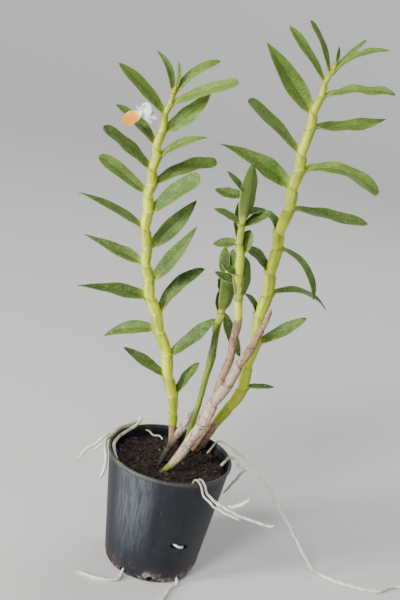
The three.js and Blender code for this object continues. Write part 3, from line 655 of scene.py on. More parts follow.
def ripple(points, size, seed, waves=7):
    """Smooth unevenness, mostly from -1 to 1: a sum of sine waves about size long, each in its
    own random direction."""
    draw = np.random.default_rng(seed)
    way = unit(draw.normal(size=(waves, 3))) * draw.uniform(0.6, 1.6, (waves, 1))
    phase = draw.uniform(0, 2 * np.pi, waves)
    return np.sin(points @ way.T * (2 * np.pi / size) + phase).sum(-1) / math.sqrt(waves) / 1.4


def blend(low, high, value):
    """A smooth step from 0 at low to 1 at high."""
    w = np.clip((value - low) / (high - low), 0, 1)
    return w * w * (3 - 2 * w)


def round_ends(length, reach_low, reach_high):
    """A share of the radius that closes both ends of a tube like quarter ellipses."""
    low = np.clip((length + 0.05) / reach_low, 0, 1)
    high = np.clip((length[-1] - length + 0.05) / reach_high, 0, 1)
    return np.sqrt(1 - (1 - low) ** 2) * np.sqrt(1 - (1 - high) ** 2)


def polar(azimuth, radius, height):
    a = math.radians(azimuth)
    return np.array([radius * math.cos(a), radius * math.sin(a), height])


# ---- Shader sums ----
class Value:
    """A shader socket that takes part in Python sums: each operator adds its Math node."""

    def __init__(self, finish, socket):
        self.finish, self.socket = finish, socket

    def math(self, operation, *values, clamp=False):
        return self.finish.node(
            "ShaderNodeMath", {"operation": operation, "use_clamp": clamp}, dict(enumerate(values))
        )

    def __add__(self, other):
        return self.math("ADD", self, other)

    def __sub__(self, other):
        return self.math("SUBTRACT", self, other)

    def __rsub__(self, other):
        return self.math("SUBTRACT", other, self)

    def __mul__(self, other):
        return self.math("MULTIPLY", self, other)

    def __truediv__(self, other):
        return self.math("DIVIDE", self, other)

    def __rtruediv__(self, other):
        return self.math("DIVIDE", other, self)

    def __pow__(self, other):
        return self.math("POWER", self, other)

    def __abs__(self):
        return self.math("ABSOLUTE", self)

    __radd__ = __add__
    __rmul__ = __mul__

    def sine(self):
        return self.math("SINE", self)

    def step(self, low, high):
        """A smooth step from 0 at low to 1 at high; low may be the greater."""
        ranged = {"interpolation_type": "SMOOTHSTEP", "clamp": True}
        if low > high:
            return 1 - self.step(high, low)
        return self.finish.node(
            "ShaderNodeMapRange", ranged, {"Value": self, "From Min": low, "From Max": high}
        )


class Finish:
    """A procedural material and the means of laying its nodes."""

    def __init__(self, name):
        self.material = bpy.data.materials.new(name)
        self.material.use_nodes = True
        self.tree = self.material.node_tree
        self.tree.nodes.clear()

    def node(self, kind, settings=None, values=None, output=0):
        """Adds a node: settings first, then its sockets' values or links. Gives one output."""
        made = self.tree.nodes.new(kind)
        for key, setting in (settings or {}).items():
            setattr(made, key, setting)
        for key, value in (values or {}).items():
            if isinstance(value, Value):
                self.tree.links.new(value.socket, made.inputs[key])
            elif value is not None:
                made.inputs[key].default_value = value
        return Value(self, made.outputs[output]) if made.outputs else None

    def carried(self, name, output="Vector"):
        return self.node("ShaderNodeAttribute", {"attribute_name": name}, output=output)

    def parts(self, vector):
        """The three numbers of a vector."""
        split = self.node("ShaderNodeSeparateXYZ", values={"Vector": vector})
        return [Value(self, s) for s in split.socket.node.outputs]

    def place(self):
        return self.node("ShaderNodeTexCoord", output="Object")

    def stretch(self, vector, scale):
        return self.node("ShaderNodeVectorMath", {"operation": "MULTIPLY"}, {0: vector, 1: scale})

    def noise(self, vector, scale, detail=3.0, rough=0.5):
        return self.node(
            "ShaderNodeTexNoise",
            values={"Vector": vector, "Scale": scale, "Detail": detail, "Roughness": rough},
        )

    def streaks(self, vector, share, scale, detail=3.0, rough=0.5):
        """Noise drawn out along the vector's third number, which counts by a share only."""
        return self.noise(self.stretch(vector, (1, 1, share)), scale, detail, rough)

    def cells(self, vector, scale, feature="F1", output="Distance"):
        return self.node(
            "ShaderNodeTexVoronoi", {"feature": feature}, {"Vector": vector, "Scale": scale}, output
        )

    def tint(self, share, low, high):
        """A colour between two, by a share."""
        ends = [c if isinstance(c, Value) else (*c, 1) for c in (low, high)]
        values = {0: share, 6: ends[0], 7: ends[1]}
        return self.node("ShaderNodeMix", {"data_type": "RGBA"}, values, 2)

    def layers(self, colour, *coats):
        """A colour under coats of (share, colour), laid one over another."""
        for share, over in coats:
            colour = self.tint(share, colour, over)
        return colour

    def bump(self, height, distance):
        return self.node("ShaderNodeBump", values={"Height": height, "Distance": distance})

    def close(self, colour, roughness, normal, **uniform):
        """Joins the finish to the shader; what is the same all over is set on its socket."""
        values = {"Base Color": colour, "Roughness": roughness, "Normal": normal}
        values.update({key.replace("_", " "): value for key, value in uniform.items()})
        shader = self.node("ShaderNodeBsdfPrincipled", values=values)
        self.node("ShaderNodeOutputMaterial", values={"Surface": shader})
        return self.material


def finish_once(name, make, *settings):
    """The finish of that name, made the first time it is asked for."""
    name += "_finish"
    return bpy.data.materials.get(name) or make(Finish(name), *settings)


def leaf_finish(f, s):
    """Green blade: mottled light and deep green, with fine lengthwise veins, painted shade in the
    crease over the midrib and a paler keel under it, a paler margin, a yellow-green base and a pale
    mottling on the upper side that is both a thin powdery bloom and a painted sheen.
    The young leaves at the top are lighter."""
    across, side, along = f.parts(f.carried("blade"))
    tint = f.carried("tint", "Fac")
    place = f.place()
    young = f.parts(place)[2].step(0.17, 0.33)
    cloud = f.noise(place, 95, 4, 0.6).step(0.34, 0.68)
    mottle = f.noise(place, 520, 5, 0.75).step(0.38, 0.62)
    fine = f.noise(place, 1300, 3, 0.7)
    veins = (across * 40 + f.noise(place, 160, 2) * 2.4).sine() * 0.5 + 0.5
    upper = side.step(-0.15, 0.15)
    middle = abs(across).step(0.10, 0.01)
    share = cloud * 0.26 + tint * 0.22 + mottle * 0.30 + veins * 0.12 + young * 0.42 - 0.16
    # Over the midrib: painted shade in the crease on the upper side, and a paler keel under it.
    channel = f.tint(upper, (0.20, 0.27, 0.05), (0.03, 0.06, 0.004))
    # Pale mottling on the upper side: a powdery bloom, and also a painted sheen that stands in for
    # the leaf's mottled highlights.
    bloom_and_sheen = f.noise(place, 760, 6, 0.85).step(0.50, 0.62) * upper * (cloud * 0.6 + 0.4)
    spots = f.cells(place, 420).step(0.15, 0.07) * f.noise(place, 80, 2).step(0.45, 0.62)
    green = f.layers(
        s.colour_deep,
        (share, s.colour_fresh),
        ((1 - upper) * 0.35, (0.15, 0.22, 0.04)),
        (middle * 0.45, channel),
        (bloom_and_sheen * 0.5, (0.34, 0.43, 0.20)),
        (spots * 0.4, (0.42, 0.46, 0.26)),
        (along.step(0.16, 0.0) * 0.8, (0.36, 0.42, 0.04)),
        (abs(across).step(0.88, 0.99) * 0.6, s.colour_margin),
        (along.step(0.975, 1.0) * tint * 0.7, (0.28, 0.17, 0.07)),
    )
    rough = 0.46 + fine * 0.14 + bloom_and_sheen * 0.12
    relief = veins * 0.5 + fine * 0.5 + mottle * 0.2 - middle * 1.1 * upper
    return f.close(green, rough, f.bump(relief, 0.00016), Specular_IOR_Level=0.34)


def cane_finish(f, s):
    """Sheathed cane: yellow to green along each sheath, with lengthwise lines, green streaks and
    a thin brown rim; dried parts are papery, bleached or rusty, with dark streaks and specks."""
    stem = f.carried("stem")
    rim, sheath, dry = f.parts(f.carried("cover"))
    bleach, rust, fresh = f.parts(f.carried("coat"))
    lines = f.streaks(stem, 0.05, 1500, 4, 0.6)
    bands = f.streaks(stem, 0.09, 560, 3, 0.6)
    broad = f.streaks(stem, 0.25, 230, 3)
    speck = f.streaks(stem, 0.5, 1100, 3, 0.7)
    fleck = f.streaks(stem, 0.6, 620, 3, 0.7).step(0.57, 0.66)
    share = broad * 1.8 + bands * 2.0 + sheath * 0.4 - 1.75
    green = f.layers(
        s.colour_yellow,
        (share.step(0.0, 0.75), s.colour_green),
        (lines.step(0.54, 0.68) * 0.45, (0.80, 0.80, 0.10)),
        (sheath.step(0.85, 1.0) * 0.4, (0.28, 0.38, 0.015)),
        (fleck * 0.35, (0.26, 0.36, 0.012)),
        (fresh, f.tint(bands.step(0.35, 0.65), (0.085, 0.130, 0.009), (0.21, 0.29, 0.02))),
    )
    stain = rust * f.streaks(stem, 0.3, 420, 4, 0.7).step(0.36, 0.62)
    cracks = f.cells(f.stretch(stem, (1, 1, 0.4)), 400, "DISTANCE_TO_EDGE").step(0.09, 0.02)
    paper = f.layers(
        s.colour_papery,
        (lines.step(0.35, 0.68), (0.50, 0.35, 0.24)),
        (bleach * (0.62 + broad * 0.5), s.colour_bleached),
        (stain * 0.85, s.colour_rust),
        (speck.step(0.58, 0.67) * (0.4 + rust * 0.4), (0.10, 0.05, 0.03)),
        ((1 - broad).step(0.46, 0.62) * 0.65, (0.36, 0.22, 0.12)),
        (bands.step(0.50, 0.62) * 0.6, (0.15, 0.095, 0.06)),
        (cracks * broad.step(0.36, 0.56) * 0.7, (0.07, 0.035, 0.022)),
        (fleck * (0.6 + rust * 0.3), (0.06, 0.026, 0.016)),
    )
    dark = f.carried("soil", "Fac") * (0.45 + f.noise(f.place(), 420, 4, 0.7))
    edge = f.tint(dry, (0.17, 0.20, 0.02), (0.085, 0.042, 0.025))
    colour = f.layers(
        f.tint(dry, green, paper),
        (dark.step(0.1, 0.9), (0.022, 0.020, 0.009)),
        (rim * (bands.step(0.36, 0.56) * 0.6 + 0.3), edge),
    )
    relief = lines * 0.5 + bands * 0.6 + speck * 0.5 * dry
    return f.close(colour, 0.38 + dry * 0.32 + lines * 0.12, f.bump(relief, 0.0003))


def root_finish(f, s):
    """Dry velamen: matt white with faint lengthwise wrinkles and brown dirt, olive where algae
    grow and green to tan at the growing tip."""
    stem = f.carried("stem")
    tip, algae, worn = f.parts(f.carried("growth"))
    lines = f.streaks(stem, 0.12, 1900, 4, 0.6)
    patch = f.streaks(stem, 0.5, 330, 4, 0.65)
    white = f.tint(lines.step(0.3, 0.7), (0.66, 0.63, 0.54), s.colour)
    white = f.tint(patch.step(0.50, 0.70) * (0.2 + worn * 0.5), white, (0.36, 0.27, 0.17))
    green = f.tint(patch, (0.10, 0.11, 0.03), (0.26, 0.27, 0.10))
    white = f.tint(algae * patch.step(0.22, 0.52), white, green)
    white = f.tint(tip, white, s.colour_tip)
    return f.close(white, 0.78 + lines * 0.15, f.bump(lines + patch, 0.00025))


def mix_finish(f, s):
    """Damp bark and coir: dark red-brown, each chip its own shade, with fibres and a few pale
    crumbs."""
    place = f.place()
    shade = f.carried("tint", "Fac")
    fibre = f.noise(f.stretch(f.carried("stem"), (1, 0.2, 1)), 1400, 4, 0.7)
    crumb = f.noise(place, 620, 5, 0.7)
    share = shade * 0.62 + fibre * 0.3 + crumb * 0.35 - 0.3
    brown = f.tint(share.step(0.0, 1.0), s.colour_dark, s.colour_light)
    brown = f.tint(shade.step(0.93, 1.0) * 0.5, brown, (0.26, 0.17, 0.10))
    brown = f.tint(f.noise(place, 210, 3).step(0.60, 0.74) * 0.25, brown, (0.035, 0.05, 0.012))
    rough = 0.62 + crumb * 0.3
    return f.close(brown, rough, f.bump(fibre * 0.5 + crumb, 0.0006))


def pot_finish(f, s):
    """Thin black nursery plastic, weathered: faint upright streaks, scratches and pale specks, a
    painted highlight as a paler streaked band up one side, lime and soil round the foot, algae on
    the rim and a bead that is paler from wear and from a painted highlight."""
    place = f.place()
    x, y, z = f.parts(place)
    height = z / s.height
    streak = f.streaks(place, 0.035, 420, 5, 0.65)
    broad = f.streaks(place, 0.12, 60, 3)
    faded = (streak * 0.6 + broad * 0.6 - 0.15).step(0.2, 0.8)
    # Painted highlight: a paler band, streaked upright, up the side that faces the key lamp. It
    # stands in for the lamp's reflection on the plastic.
    facing = (x * HIGHLIGHT_WAY[0] + y * HIGHLIGHT_WAY[1]) / (x * x + y * y) ** 0.5
    painted_highlight = facing.step(0.88, 1.02) * height.step(0.05, 0.7)
    painted_highlight = painted_highlight * (f.streaks(place, 0.012, 640, 4, 0.6).step(0.36, 0.62) * 0.6 + 0.4)
    scratch = f.streaks(place, 0.02, 1500, 2).step(0.70, 0.76)
    dust = f.noise(place, 130, 6, 0.75)
    soil = height.step(0.20, 0.015) * f.noise(place, 75, 5, 0.7).step(0.38, 0.62)
    lime = height.step(0.15, 0.02) * f.noise(place, 105, 6, 0.8).step(0.50, 0.63)
    speck = f.cells(place, 620).step(0.10, 0.04) * f.noise(place, 90, 2).step(0.52, 0.62)
    # The paler bead is partly wear and partly a painted highlight on the rounded lip.
    bead = height.step(0.968, 0.985)
    mossy = height.step(0.93, 0.99) * f.noise(place, 120, 4, 0.7).step(0.42, 0.62)
    leftward = (x * -1).step(0.0, 0.03)
    colour = f.layers(
        s.colour,
        (faded, (0.014, 0.017, 0.025)),
        (painted_highlight * 0.62, (0.12, 0.135, 0.165)),
        (scratch * 0.5, (0.11, 0.12, 0.14)),
        (dust.step(0.45, 0.8) * 0.16, (0.06, 0.065, 0.075)),
        (soil * 0.6, (0.085, 0.042, 0.034)),
        (lime * 0.85, (0.46, 0.45, 0.42)),
        (speck * 0.6, (0.45, 0.45, 0.43)),
        (bead * (0.1 + streak * 0.5), (0.10, 0.11, 0.10)),
        (mossy * (0.08 + leftward * 0.6), (0.10, 0.11, 0.03)),
    )
    rough = 0.36 + dust * 0.16 + streak * 0.12 + (soil + lime) * 0.25
    relief = streak * 0.5 + dust * 0.3 + lime * 1.5 - scratch * 0.6
    return f.close(colour, rough, f.bump(relief, 0.00018), Specular_IOR_Level=0.32)


def tepal_finish(f, s):
    """White tepal: waxy, with faint lengthwise veins, greenish at the base."""
    across, _, along = f.parts(f.carried("blade"))
    wander = f.noise(f.place(), 300, 2)
    veins = (across * 30 + wander * 3).sine() * 0.5 + 0.5
    white = f.tint(veins * 0.4, s.colour_white, (0.70, 0.73, 0.78))
    white = f.tint(along.step(0.22, 0.0) * 0.6, white, (0.62, 0.68, 0.42))
    waxy = {"Subsurface_Weight": 0.15, "Subsurface_Scale": 0.002}
    return f.close(white, 0.45 + veins * 0.1, f.bump(veins, 0.0001), **waxy)


def lip_finish(f, s):
    """Orange lip: deepest along its ribs, cream towards its margin and pink at its throat."""
    across, _, along = f.parts(f.carried("blade"))
    ribs = (across * 26 + f.noise(f.place(), 380, 2) * 1.5).sine() * 0.5 + 0.5
    orange = f.layers(
        s.colour_orange,
        (ribs * 0.5, (0.84, 0.42, 0.004)),
        (abs(across).step(0.62, 0.98) * 0.75, s.colour_cream),
        (along.step(0.70, 1.0) * 0.75, s.colour_cream),
        (along.step(0.30, 0.04), (0.86, 0.66, 0.60)),
    )
    return f.close(orange, 0.42 + ribs * 0.1, f.bump(ribs, 0.00022))


def floor_finish(f, s):
    """Plain pale paper."""
    cloud = f.noise(f.place(), 3, 3)
    pale = f.tint(cloud, tuple(c * 0.985 for c in s.floor_colour), tuple(s.floor_colour))
    return f.close(pale, 0.85, f.bump(f.noise(f.place(), 900, 2), 0.00004))


# ---- Canes ----
def wall_radius(height):
    """Outer radius of the pot's wall at a height, in millimetres: a straight taper."""
    pot = bpy.context.scene.orchid.pot
    top = (pot.rim_radius - pot.bead) / MM
    base = pot.base_radius / MM
    return base + (top - base) * height / (pot.height / MM)


def drain_azimuth(count):
    """The azimuth of a drain hole, counted from the first."""
    return DRAIN_FIRST + 360 * count / bpy.context.scene.orchid.pot.drain_holes


def mix_level():
    return bpy.context.scene.orchid.pot.height / MM - HEADSPACE


def cane_rows(name):
    """A cane's rows in millimetres from the middle of the pot's underside."""
    (azimuth, inside), rows = CANES[name]
    start = polar(azimuth, wall_radius(mix_level()) - inside, mix_level())
    return np.array(rows, float) + [*start, 0]


def cane_at(name, height):
    """A cane's middle and radius at a height above the mix, read straight between its rows."""
    rows = cane_rows(name)
    z = height + mix_level()
    return np.array([np.interp(z, rows[:, 2], rows[:, k]) for k in range(4)])


def leaf_nodes(leaves):
    """The nodes of leaves as [height above the mix, azimuth, 1]."""
    return [(*leaf[:2], 1) for leaf in leaves]


def cane_nodes(name):
    """Every node of a cane as [height above the mix, azimuth, 1 if it bears a leaf]."""
    nodes = [(*node, 0) for node in BARE_NODES.get(name, [])] + leaf_nodes(LEAVES.get(name, []))
    for cane, _, leaves in SHOOTS.values():
        nodes += leaf_nodes(leaves) if cane == name else []
    return np.array(sorted(nodes), float)


def stem_shell(rows, nodes, coat, grow=0.0, flare=0.0, slim=0.0, around=44, step=0.42, finish=0):
    """A jointed stem along a smooth line. Its radius is the rows' radius, swollen between the
    nodes by a sine, with each sheath thickening up to its own rim and dropping there; a rim is
    highest at its leaf's azimuth and runs down by a cosine to the far side, and flares to the
    leaf there. grow is added to the radius, and slim is the share of it that is lost towards
    the tip."""
    cane = bpy.context.scene.orchid.cane
    line, run = smooth_line(rows, int(steps_along(rows).sum() / step), 0.3)
    centre = line[:, :3].copy()
    height = line[:, 2] - mix_level()
    turn = turns(around)
    places = np.interp(nodes[:, 0], height, run)
    bearing = np.radians(nodes[:, 1])
    lean = np.stack([np.cos(bearing), np.sin(bearing)], -1) * NODE_LEAN
    for axis in range(2):
        bend = np.interp(run, places, lean[:, axis], lean[0, axis] * 0.5, lean[-1, axis])
        centre[:, axis] += bend * (line[:, 3] / COMMON_CANE)
    tangent, first, second = side_frames(centre, np.array([0, -1.0, 0]))
    # The first direction faces -Y and the second +X, so a ring's turn starts at -90 degrees.
    azimuth = turn - np.pi / 2
    drop = cane.rim_drop / MM * np.clip(line[:, 3].mean() / COMMON_CANE, 0.3, 1.1)
    rims = places[:, None] + 0.8 - drop * (1 - np.cos(azimuth[None] - bearing[:, None])) / 2
    passed = (run[:, None, None] > rims[None]).sum(1)
    edges = np.concatenate([np.full((1, around), -12.0), rims, np.full((1, around), run[-1] + 14)])
    column = np.arange(around)[None]
    below, above = edges[passed, column], edges[passed + 1, column]
    to_rim, from_rim = above - run[:, None], run[:, None] - below
    share = np.clip(from_rim / np.maximum(above - below, 0.5), 0, 1)
    ends = np.concatenate([[-10.0], places, [run[-1] + 12]])
    k = np.clip(np.searchsorted(ends, run) - 1, 0, len(ends) - 2)
    between = (run - ends[k]) / np.maximum(ends[k + 1] - ends[k], 0.5)
    swell = cane.swell * (np.sin(np.pi * between) ** 0.8 - 0.85)
    step_out = cane.rim_step / MM * np.clip(line[:, 3] / COMMON_CANE, 0.35, 1)[:, None]
    thin = 1 - slim * blend(run[-1] - 45, run[-1], run)
    radius = ((line[:, 3] * thin + grow) * (1 + swell))[:, None] + step_out * (share**1.5 - 0.6)
    owner = np.minimum(passed, len(nodes) - 1)
    apart = np.angle(np.exp(1j * (azimuth[None] - bearing[owner])))
    mouth = np.exp(-((apart / 0.75) ** 2) - ((to_rim - 0.3) / 1.8) ** 2)
    radius = radius * round_ends(run, 1.5, 2.2)[:, None] + flare * nodes[owner, 2] * mouth
    ring = ring_ways(first, second, turn)
    points = centre[:, None] + ring * radius[..., None]
    points += ring * (0.05 * ripple(points, 9, seed=5))[..., None]
    rim = np.clip(np.exp(-((to_rim / 0.45) ** 2)) + np.exp(-((from_rim / 0.55) ** 2)), 0, 1)
    wedge = np.exp(-((apart / 0.9) ** 2) - ((to_rim - 1) / 3.2) ** 2)
    uneven = height[:, None] + 1.4 * ripple(points, 5, seed=11) * 0.8

    def mark(key):
        return np.interp(uneven, *np.array(coat.get(key, [(0, 0)]), float).T)

    green = np.maximum(mark("fresh"), 0.6 * wedge)
    carried = {
        "stem": level_rings(turn, radius, run[:, None]) * MM,
        "cover": np.stack([rim, share, mark("dry")], -1),
        "coat": np.stack([mark("bleach"), mark("rust"), green], -1),
        "soil": mark("soil")[..., None],
    }
    foot = centre[0] - tangent[0] * 0.05
    head = centre[-1] + tangent[-1] * 0.05
    return ring_shell(points * MM, foot * MM, head * MM, carried, finish)


# ---- Leaves ----
def leaf_width(s, point):
    """Half a leaf's width as a share: narrow at the clasping base, widest nearer the tip when
    blunt, and a tip whose curve goes from blunt to drawn out as point goes from 0 to 1.4."""
    widest = 0.56 - 0.16 * point
    rise = np.sin(np.minimum(s / widest, 1) * np.pi / 2)
    base = (0.45 + 0.55 * rise) * (0.62 + 0.38 * blend(0, 0.1, s))
    past = np.clip((s - widest) / (1 - widest), 0, 1)
    tip = (1 - past ** (2.6 - 0.9 * point)) ** (0.5 + 0.45 * point)
    return base * tip


def petal_width(s, point):
    """Half a petal's width as a share: narrow base, widest past the middle, round end."""
    swell = np.sin(np.pi * np.clip(s, 0, 1) ** (0.75 + 0.3 * (1 - point)))
    return np.clip(swell, 0, 1) ** 0.62 * (0.8 + 0.2 * s) + 0.12 * (1 - s) ** 2


def blade_shell(
    base,
    leaf,
    seed,
    widths=leaf_width,
    thickness=None,
    fold=None,
    clasp=1.6,
    soft=0.03,
    rib=0.13,
    ribs=0,
    stations=72,
    around=40,
):
    """A folded blade. Its middle line leaves base at the azimuth, and its slope turns evenly
    from rise to end. Across, a point at share v stands out by the half width and is lifted by
    the fold, a V softened by soft and deepened at the base by clasp; the skin is half the
    thickness above or below, tapering to the edge like an ellipse, with a groove of depth rib
    along the upper midrib and a keel under it. ribs is the height of ridges along the blade."""
    settings = bpy.context.scene.orchid.leaf
    thickness = settings.thickness / MM if thickness is None else thickness
    fold = settings.fold if fold is None else fold
    azimuth, length, rise, end, face, width, point, twist, wave = leaf
    t = (np.arange(stations) + 0.5) / stations
    s = (1 - np.cos(np.pi * t)) / 2
    fine = np.linspace(0, 1, 400)
    slope = np.radians(rise + (end - rise) * fine)
    ahead, across = polar(azimuth, 1, 0), polar(azimuth - 90, 1, 0)
    across = -across if across[1] > 0 else across
    way = ahead * np.cos(slope)[:, None] + UP * np.sin(slope)[:, None]
    step = length / (len(fine) - 1) * way
    path = base + np.concatenate([np.zeros((1, 3)), np.cumsum((step[1:] + step[:-1]) / 2, 0)])
    middle = np.stack([np.interp(s, fine, path[:, k]) for k in range(3)], -1)
    e = np.interp(s, fine, slope)[:, None]
    forward = ahead * np.cos(e) + UP * np.sin(e)
    upper = -ahead * np.sin(e) + UP * np.cos(e)
    turned = np.radians(face + twist * (s - 0.25))[:, None]
    upper = upper * np.cos(turned) + across * np.sin(turned)
    right = np.cross(upper, forward)
    half = (width / 2 * widths(s, point))[:, None]
    turn = turns(around, 0.5)
    v, w = np.cos(turn)[None], np.sin(turn)[None]
    s_row = s[:, None]
    lift = fold * half * (1 + clasp * np.exp(-((s_row / 0.09) ** 2))) * (1 - 0.55 * s_row)
    vee = (np.sqrt(v * v + soft) - math.sqrt(soft)) / (math.sqrt(1 + soft) - math.sqrt(soft))
    body = thickness / 2 * (1.15 - 0.5 * s_row) * np.sign(w) * np.abs(w) ** 0.8
    body = body - rib * np.exp(-((v / 0.07) ** 2)) * (1 - s_row) * np.where(w > 0, 1, 1.2)
    body = body * np.sqrt(blend(0, 0.01, s) * blend(0, 0.03, 1 - s))[:, None]
    draw = np.random.default_rng(seed)
    phase, count = draw.uniform(0, 6.28, 2), draw.uniform(1.6, 2.8)
    side_phase = np.where(v > 0, phase[0], phase[1])
    flutter = wave * 0.4 * v * v * np.sin(2 * np.pi * count * s_row + side_phase)
    flutter = flutter * blend(0.05, 0.3, s_row) * half
    ridges = ribs * np.cos(v * 22) * np.sin(np.pi * s_row)
    rise_by = lift * (vee - 0.5) + body + flutter + ridges
    sway = draw.uniform(-0.5, 0.5) * width * 0.06 * np.sin(np.pi * s_row)
    points = middle[:, None] + right[:, None] * (half * v + sway)[..., None]
    points = points + upper[:, None] * rise_by[..., None]
    foot = path[0] - upper[0] * lift[0] * 0.2
    carried = {
        "blade": np.stack(np.broadcast_arrays(v, w, s_row), -1),
        "tint": np.full((stations, around, 1), draw.uniform(0, 1)),
    }
    return ring_shell(points * MM, foot * MM, path[-1] * MM, carried)


def leaf_base(cane, height, azimuth):
    x, y, z, radius = cane_at(cane, height)
    return np.array([x, y, z]) + polar(azimuth, 0.8 * radius, 0)


def leaf_shell(cane, leaf, seed):
    height, azimuth = leaf[:2]
    return blade_shell(leaf_base(cane, height, azimuth), leaf[1:], seed)


# ---- Roots ----
def root_place(kind, azimuth, distance, height):
    """A place on a root's route, in millimetres, measured to the skin of a common root: over,
    beside or inside the rim; in the air or by the wall, where height is a share of the pot's;
    on the ground, from the foot; in the mix, inside the wall; at a drain hole or the slit."""
    settings = bpy.context.scene.orchid
    pot, r = settings.pot, settings.root.radius / MM
    rim, top, base = pot.rim_radius / MM, pot.height / MM, pot.base_radius / MM
    drain_z, slit_z = pot.drain_height / MM, pot.slit_height / MM
    places = {
        "over": (azimuth, rim + distance, top + r + height),
        "beside": (azimuth, rim + r + distance, top + r + height),
        "inside": (azimuth, rim - r - distance, top + r + height),
        "air": (azimuth, rim + r + distance, height * top),
        "wall": (azimuth, wall_radius(height * top) + r + distance, height * top),
        "ground": (azimuth, base + distance, r * math.cos(math.pi / 6) + 0.15),
        "mix": (azimuth, wall_radius(mix_level()) - r - distance, mix_level() + height),
        "drain": (drain_azimuth(azimuth), base + distance, drain_z + height),
        "slit": (SLIT_AZIMUTH + azimuth, wall_radius(slit_z) + distance, slit_z + height),
    }
    return polar(*places[kind])


def root_shell(name, seed, around=20, step=0.45):
    """A root along a smooth line: its radius wavers by a ripple along it, its section is a
    little uneven, its free length sways, and its ends are rounded."""
    settings = bpy.context.scene.orchid
    pot, knobs = settings.pot, settings.root.knobs
    thick, route = ROOTS[name]
    path = np.array([root_place(*place) for place in route])
    rows = np.concatenate([path, np.full((len(path), 1), thick * settings.root.radius / MM)], 1)
    rows[-1, 3] *= 0.72
    line, run = smooth_line(rows, int(steps_along(path).sum() / step) + 24, 0.9)
    centre = line[:, :3].copy()
    rim_radius = pot.rim_radius / MM
    away = np.hypot(centre[:, 0], centre[:, 1])
    free = blend(rim_radius + 3, rim_radius + 9, away)
    sway = np.stack([ripple(line[:, :3], size, seed + k) for k, size in enumerate((8, 7, 9))], -1)
    sway *= (free * blend(0, 6, run[-1] - run))[:, None]
    sway *= np.array([0.5, 0.5, 0.4])
    sway[:, 2] *= blend(4, 10, centre[:, 2])
    centre += sway
    tangent, first, second = carried_frames(centre)
    turn = turns(around)
    ring = ring_ways(first, second, turn)
    along = 1 + knobs * 0.55 * ripple(centre, 7, seed)
    along = along + knobs * 0.35 * ripple(centre, 2.6, seed + 1)
    radius = line[:, 3] * (1 + 0.2 * free) * along * round_ends(run, 1.2, 1.8)
    skin = centre[:, None] + ring * radius[:, None, None]
    radius = radius[:, None] * (1 + 0.5 * knobs * ripple(skin, 2.2, seed + 2))
    points = centre[:, None] + ring * radius[..., None]
    points[..., 2] = np.maximum(points[..., 2], 0.02)
    beyond = np.hypot(points[..., 0], points[..., 1]) - rim_radius + 0.6
    from_rim = np.hypot(beyond, points[..., 2] - pot.height / MM)
    tip = np.broadcast_to(0.8 * np.exp(-(((run[-1] - run) / 2.2) ** 2))[:, None], from_rim.shape)
    algae, worn = np.exp(-((from_rim / 4.5) ** 2)), 0.5 + 0.5 * ripple(points, 14, seed)
    carried = {
        "stem": level_rings(turn, radius, run[:, None]) * MM + seed * 0.01,
        "growth": np.stack([tip, algae, worn], -1),
    }
    foot, head = centre[0] - tangent[0] * 0.02, centre[-1] + tangent[-1] * 0.02
    return ring_shell(points * MM, foot * MM, head * MM, carried)


# ---- Flower ----
def bar_shell(rows, carried, around=24, step=0.18):
    """A round bar along a smooth line of rows [x, y, z, radius], with rounded ends."""
    line, run = smooth_line(rows, int(steps_along(rows).sum() / step) + 12, 0.8)
    tangent, first, second = carried_frames(line[:, :3])
    radius = line[:, 3] * round_ends(run, line[0, 3], line[-1, 3])
    ring = ring_ways(first, second, turns(around))
    points = line[:, None, :3] + ring * radius[:, None, None]
    data = {name: np.tile(value, (len(line), around, 1)) for name, value in carried.items()}
    foot, head = line[0, :3] - tangent[0] * 0.02, line[-1, :3] + tangent[-1] * 0.02
    return ring_shell(points * MM, foot * MM, head * MM, data)


def stalk_shells(start, middle):
    """The flower's stalk from the cane and the column at its middle. Both take a tepal's
    finish: the stalk from near a tepal's base, the column from further along."""
    bend = (start + middle) / 2
    bend[2] = middle[2] + 1
    stalk = np.array([[*start, 0.8], [*bend, 0.75], [*middle, 0.95]])
    ahead = unit(middle - bend)
    back, front = middle - ahead * 1.8, middle + ahead * 1.9
    column = np.array([[*back, 1.3], [*middle, 1.7], [*front, 1.2]])
    return [
        bar_shell(rows, {"blade": np.array([0.3, 1, along])})
        for rows, along in ((stalk, 0.12), (column, 0.4))
    ]


# ---- Pot and mix ----
def turned_shell(profile, around, wobble=None):
    """A profile of (radius, height) turned about +Z, with a pole at each end on the axis;
    wobble, a function, moves the rings' points."""
    radius, height = np.array(profile, float).T
    rings = level_rings(turns(around), radius[1:-1, None], height[1:-1, None])
    if wobble:
        rings = wobble(rings)
    foot, head = np.array([0, 0, height[0]]), np.array([0, 0, height[-1]])
    return ring_shell(rings * MM, foot * MM, head * MM, {})


def arc(centre, radius, start, stop, count):
    """Points of a circle's arc in (radius, height), by angle in degrees."""
    a = np.radians(np.linspace(start, stop, count))
    return [(centre[0] + radius * math.cos(q), centre[1] + radius * math.sin(q)) for q in a]


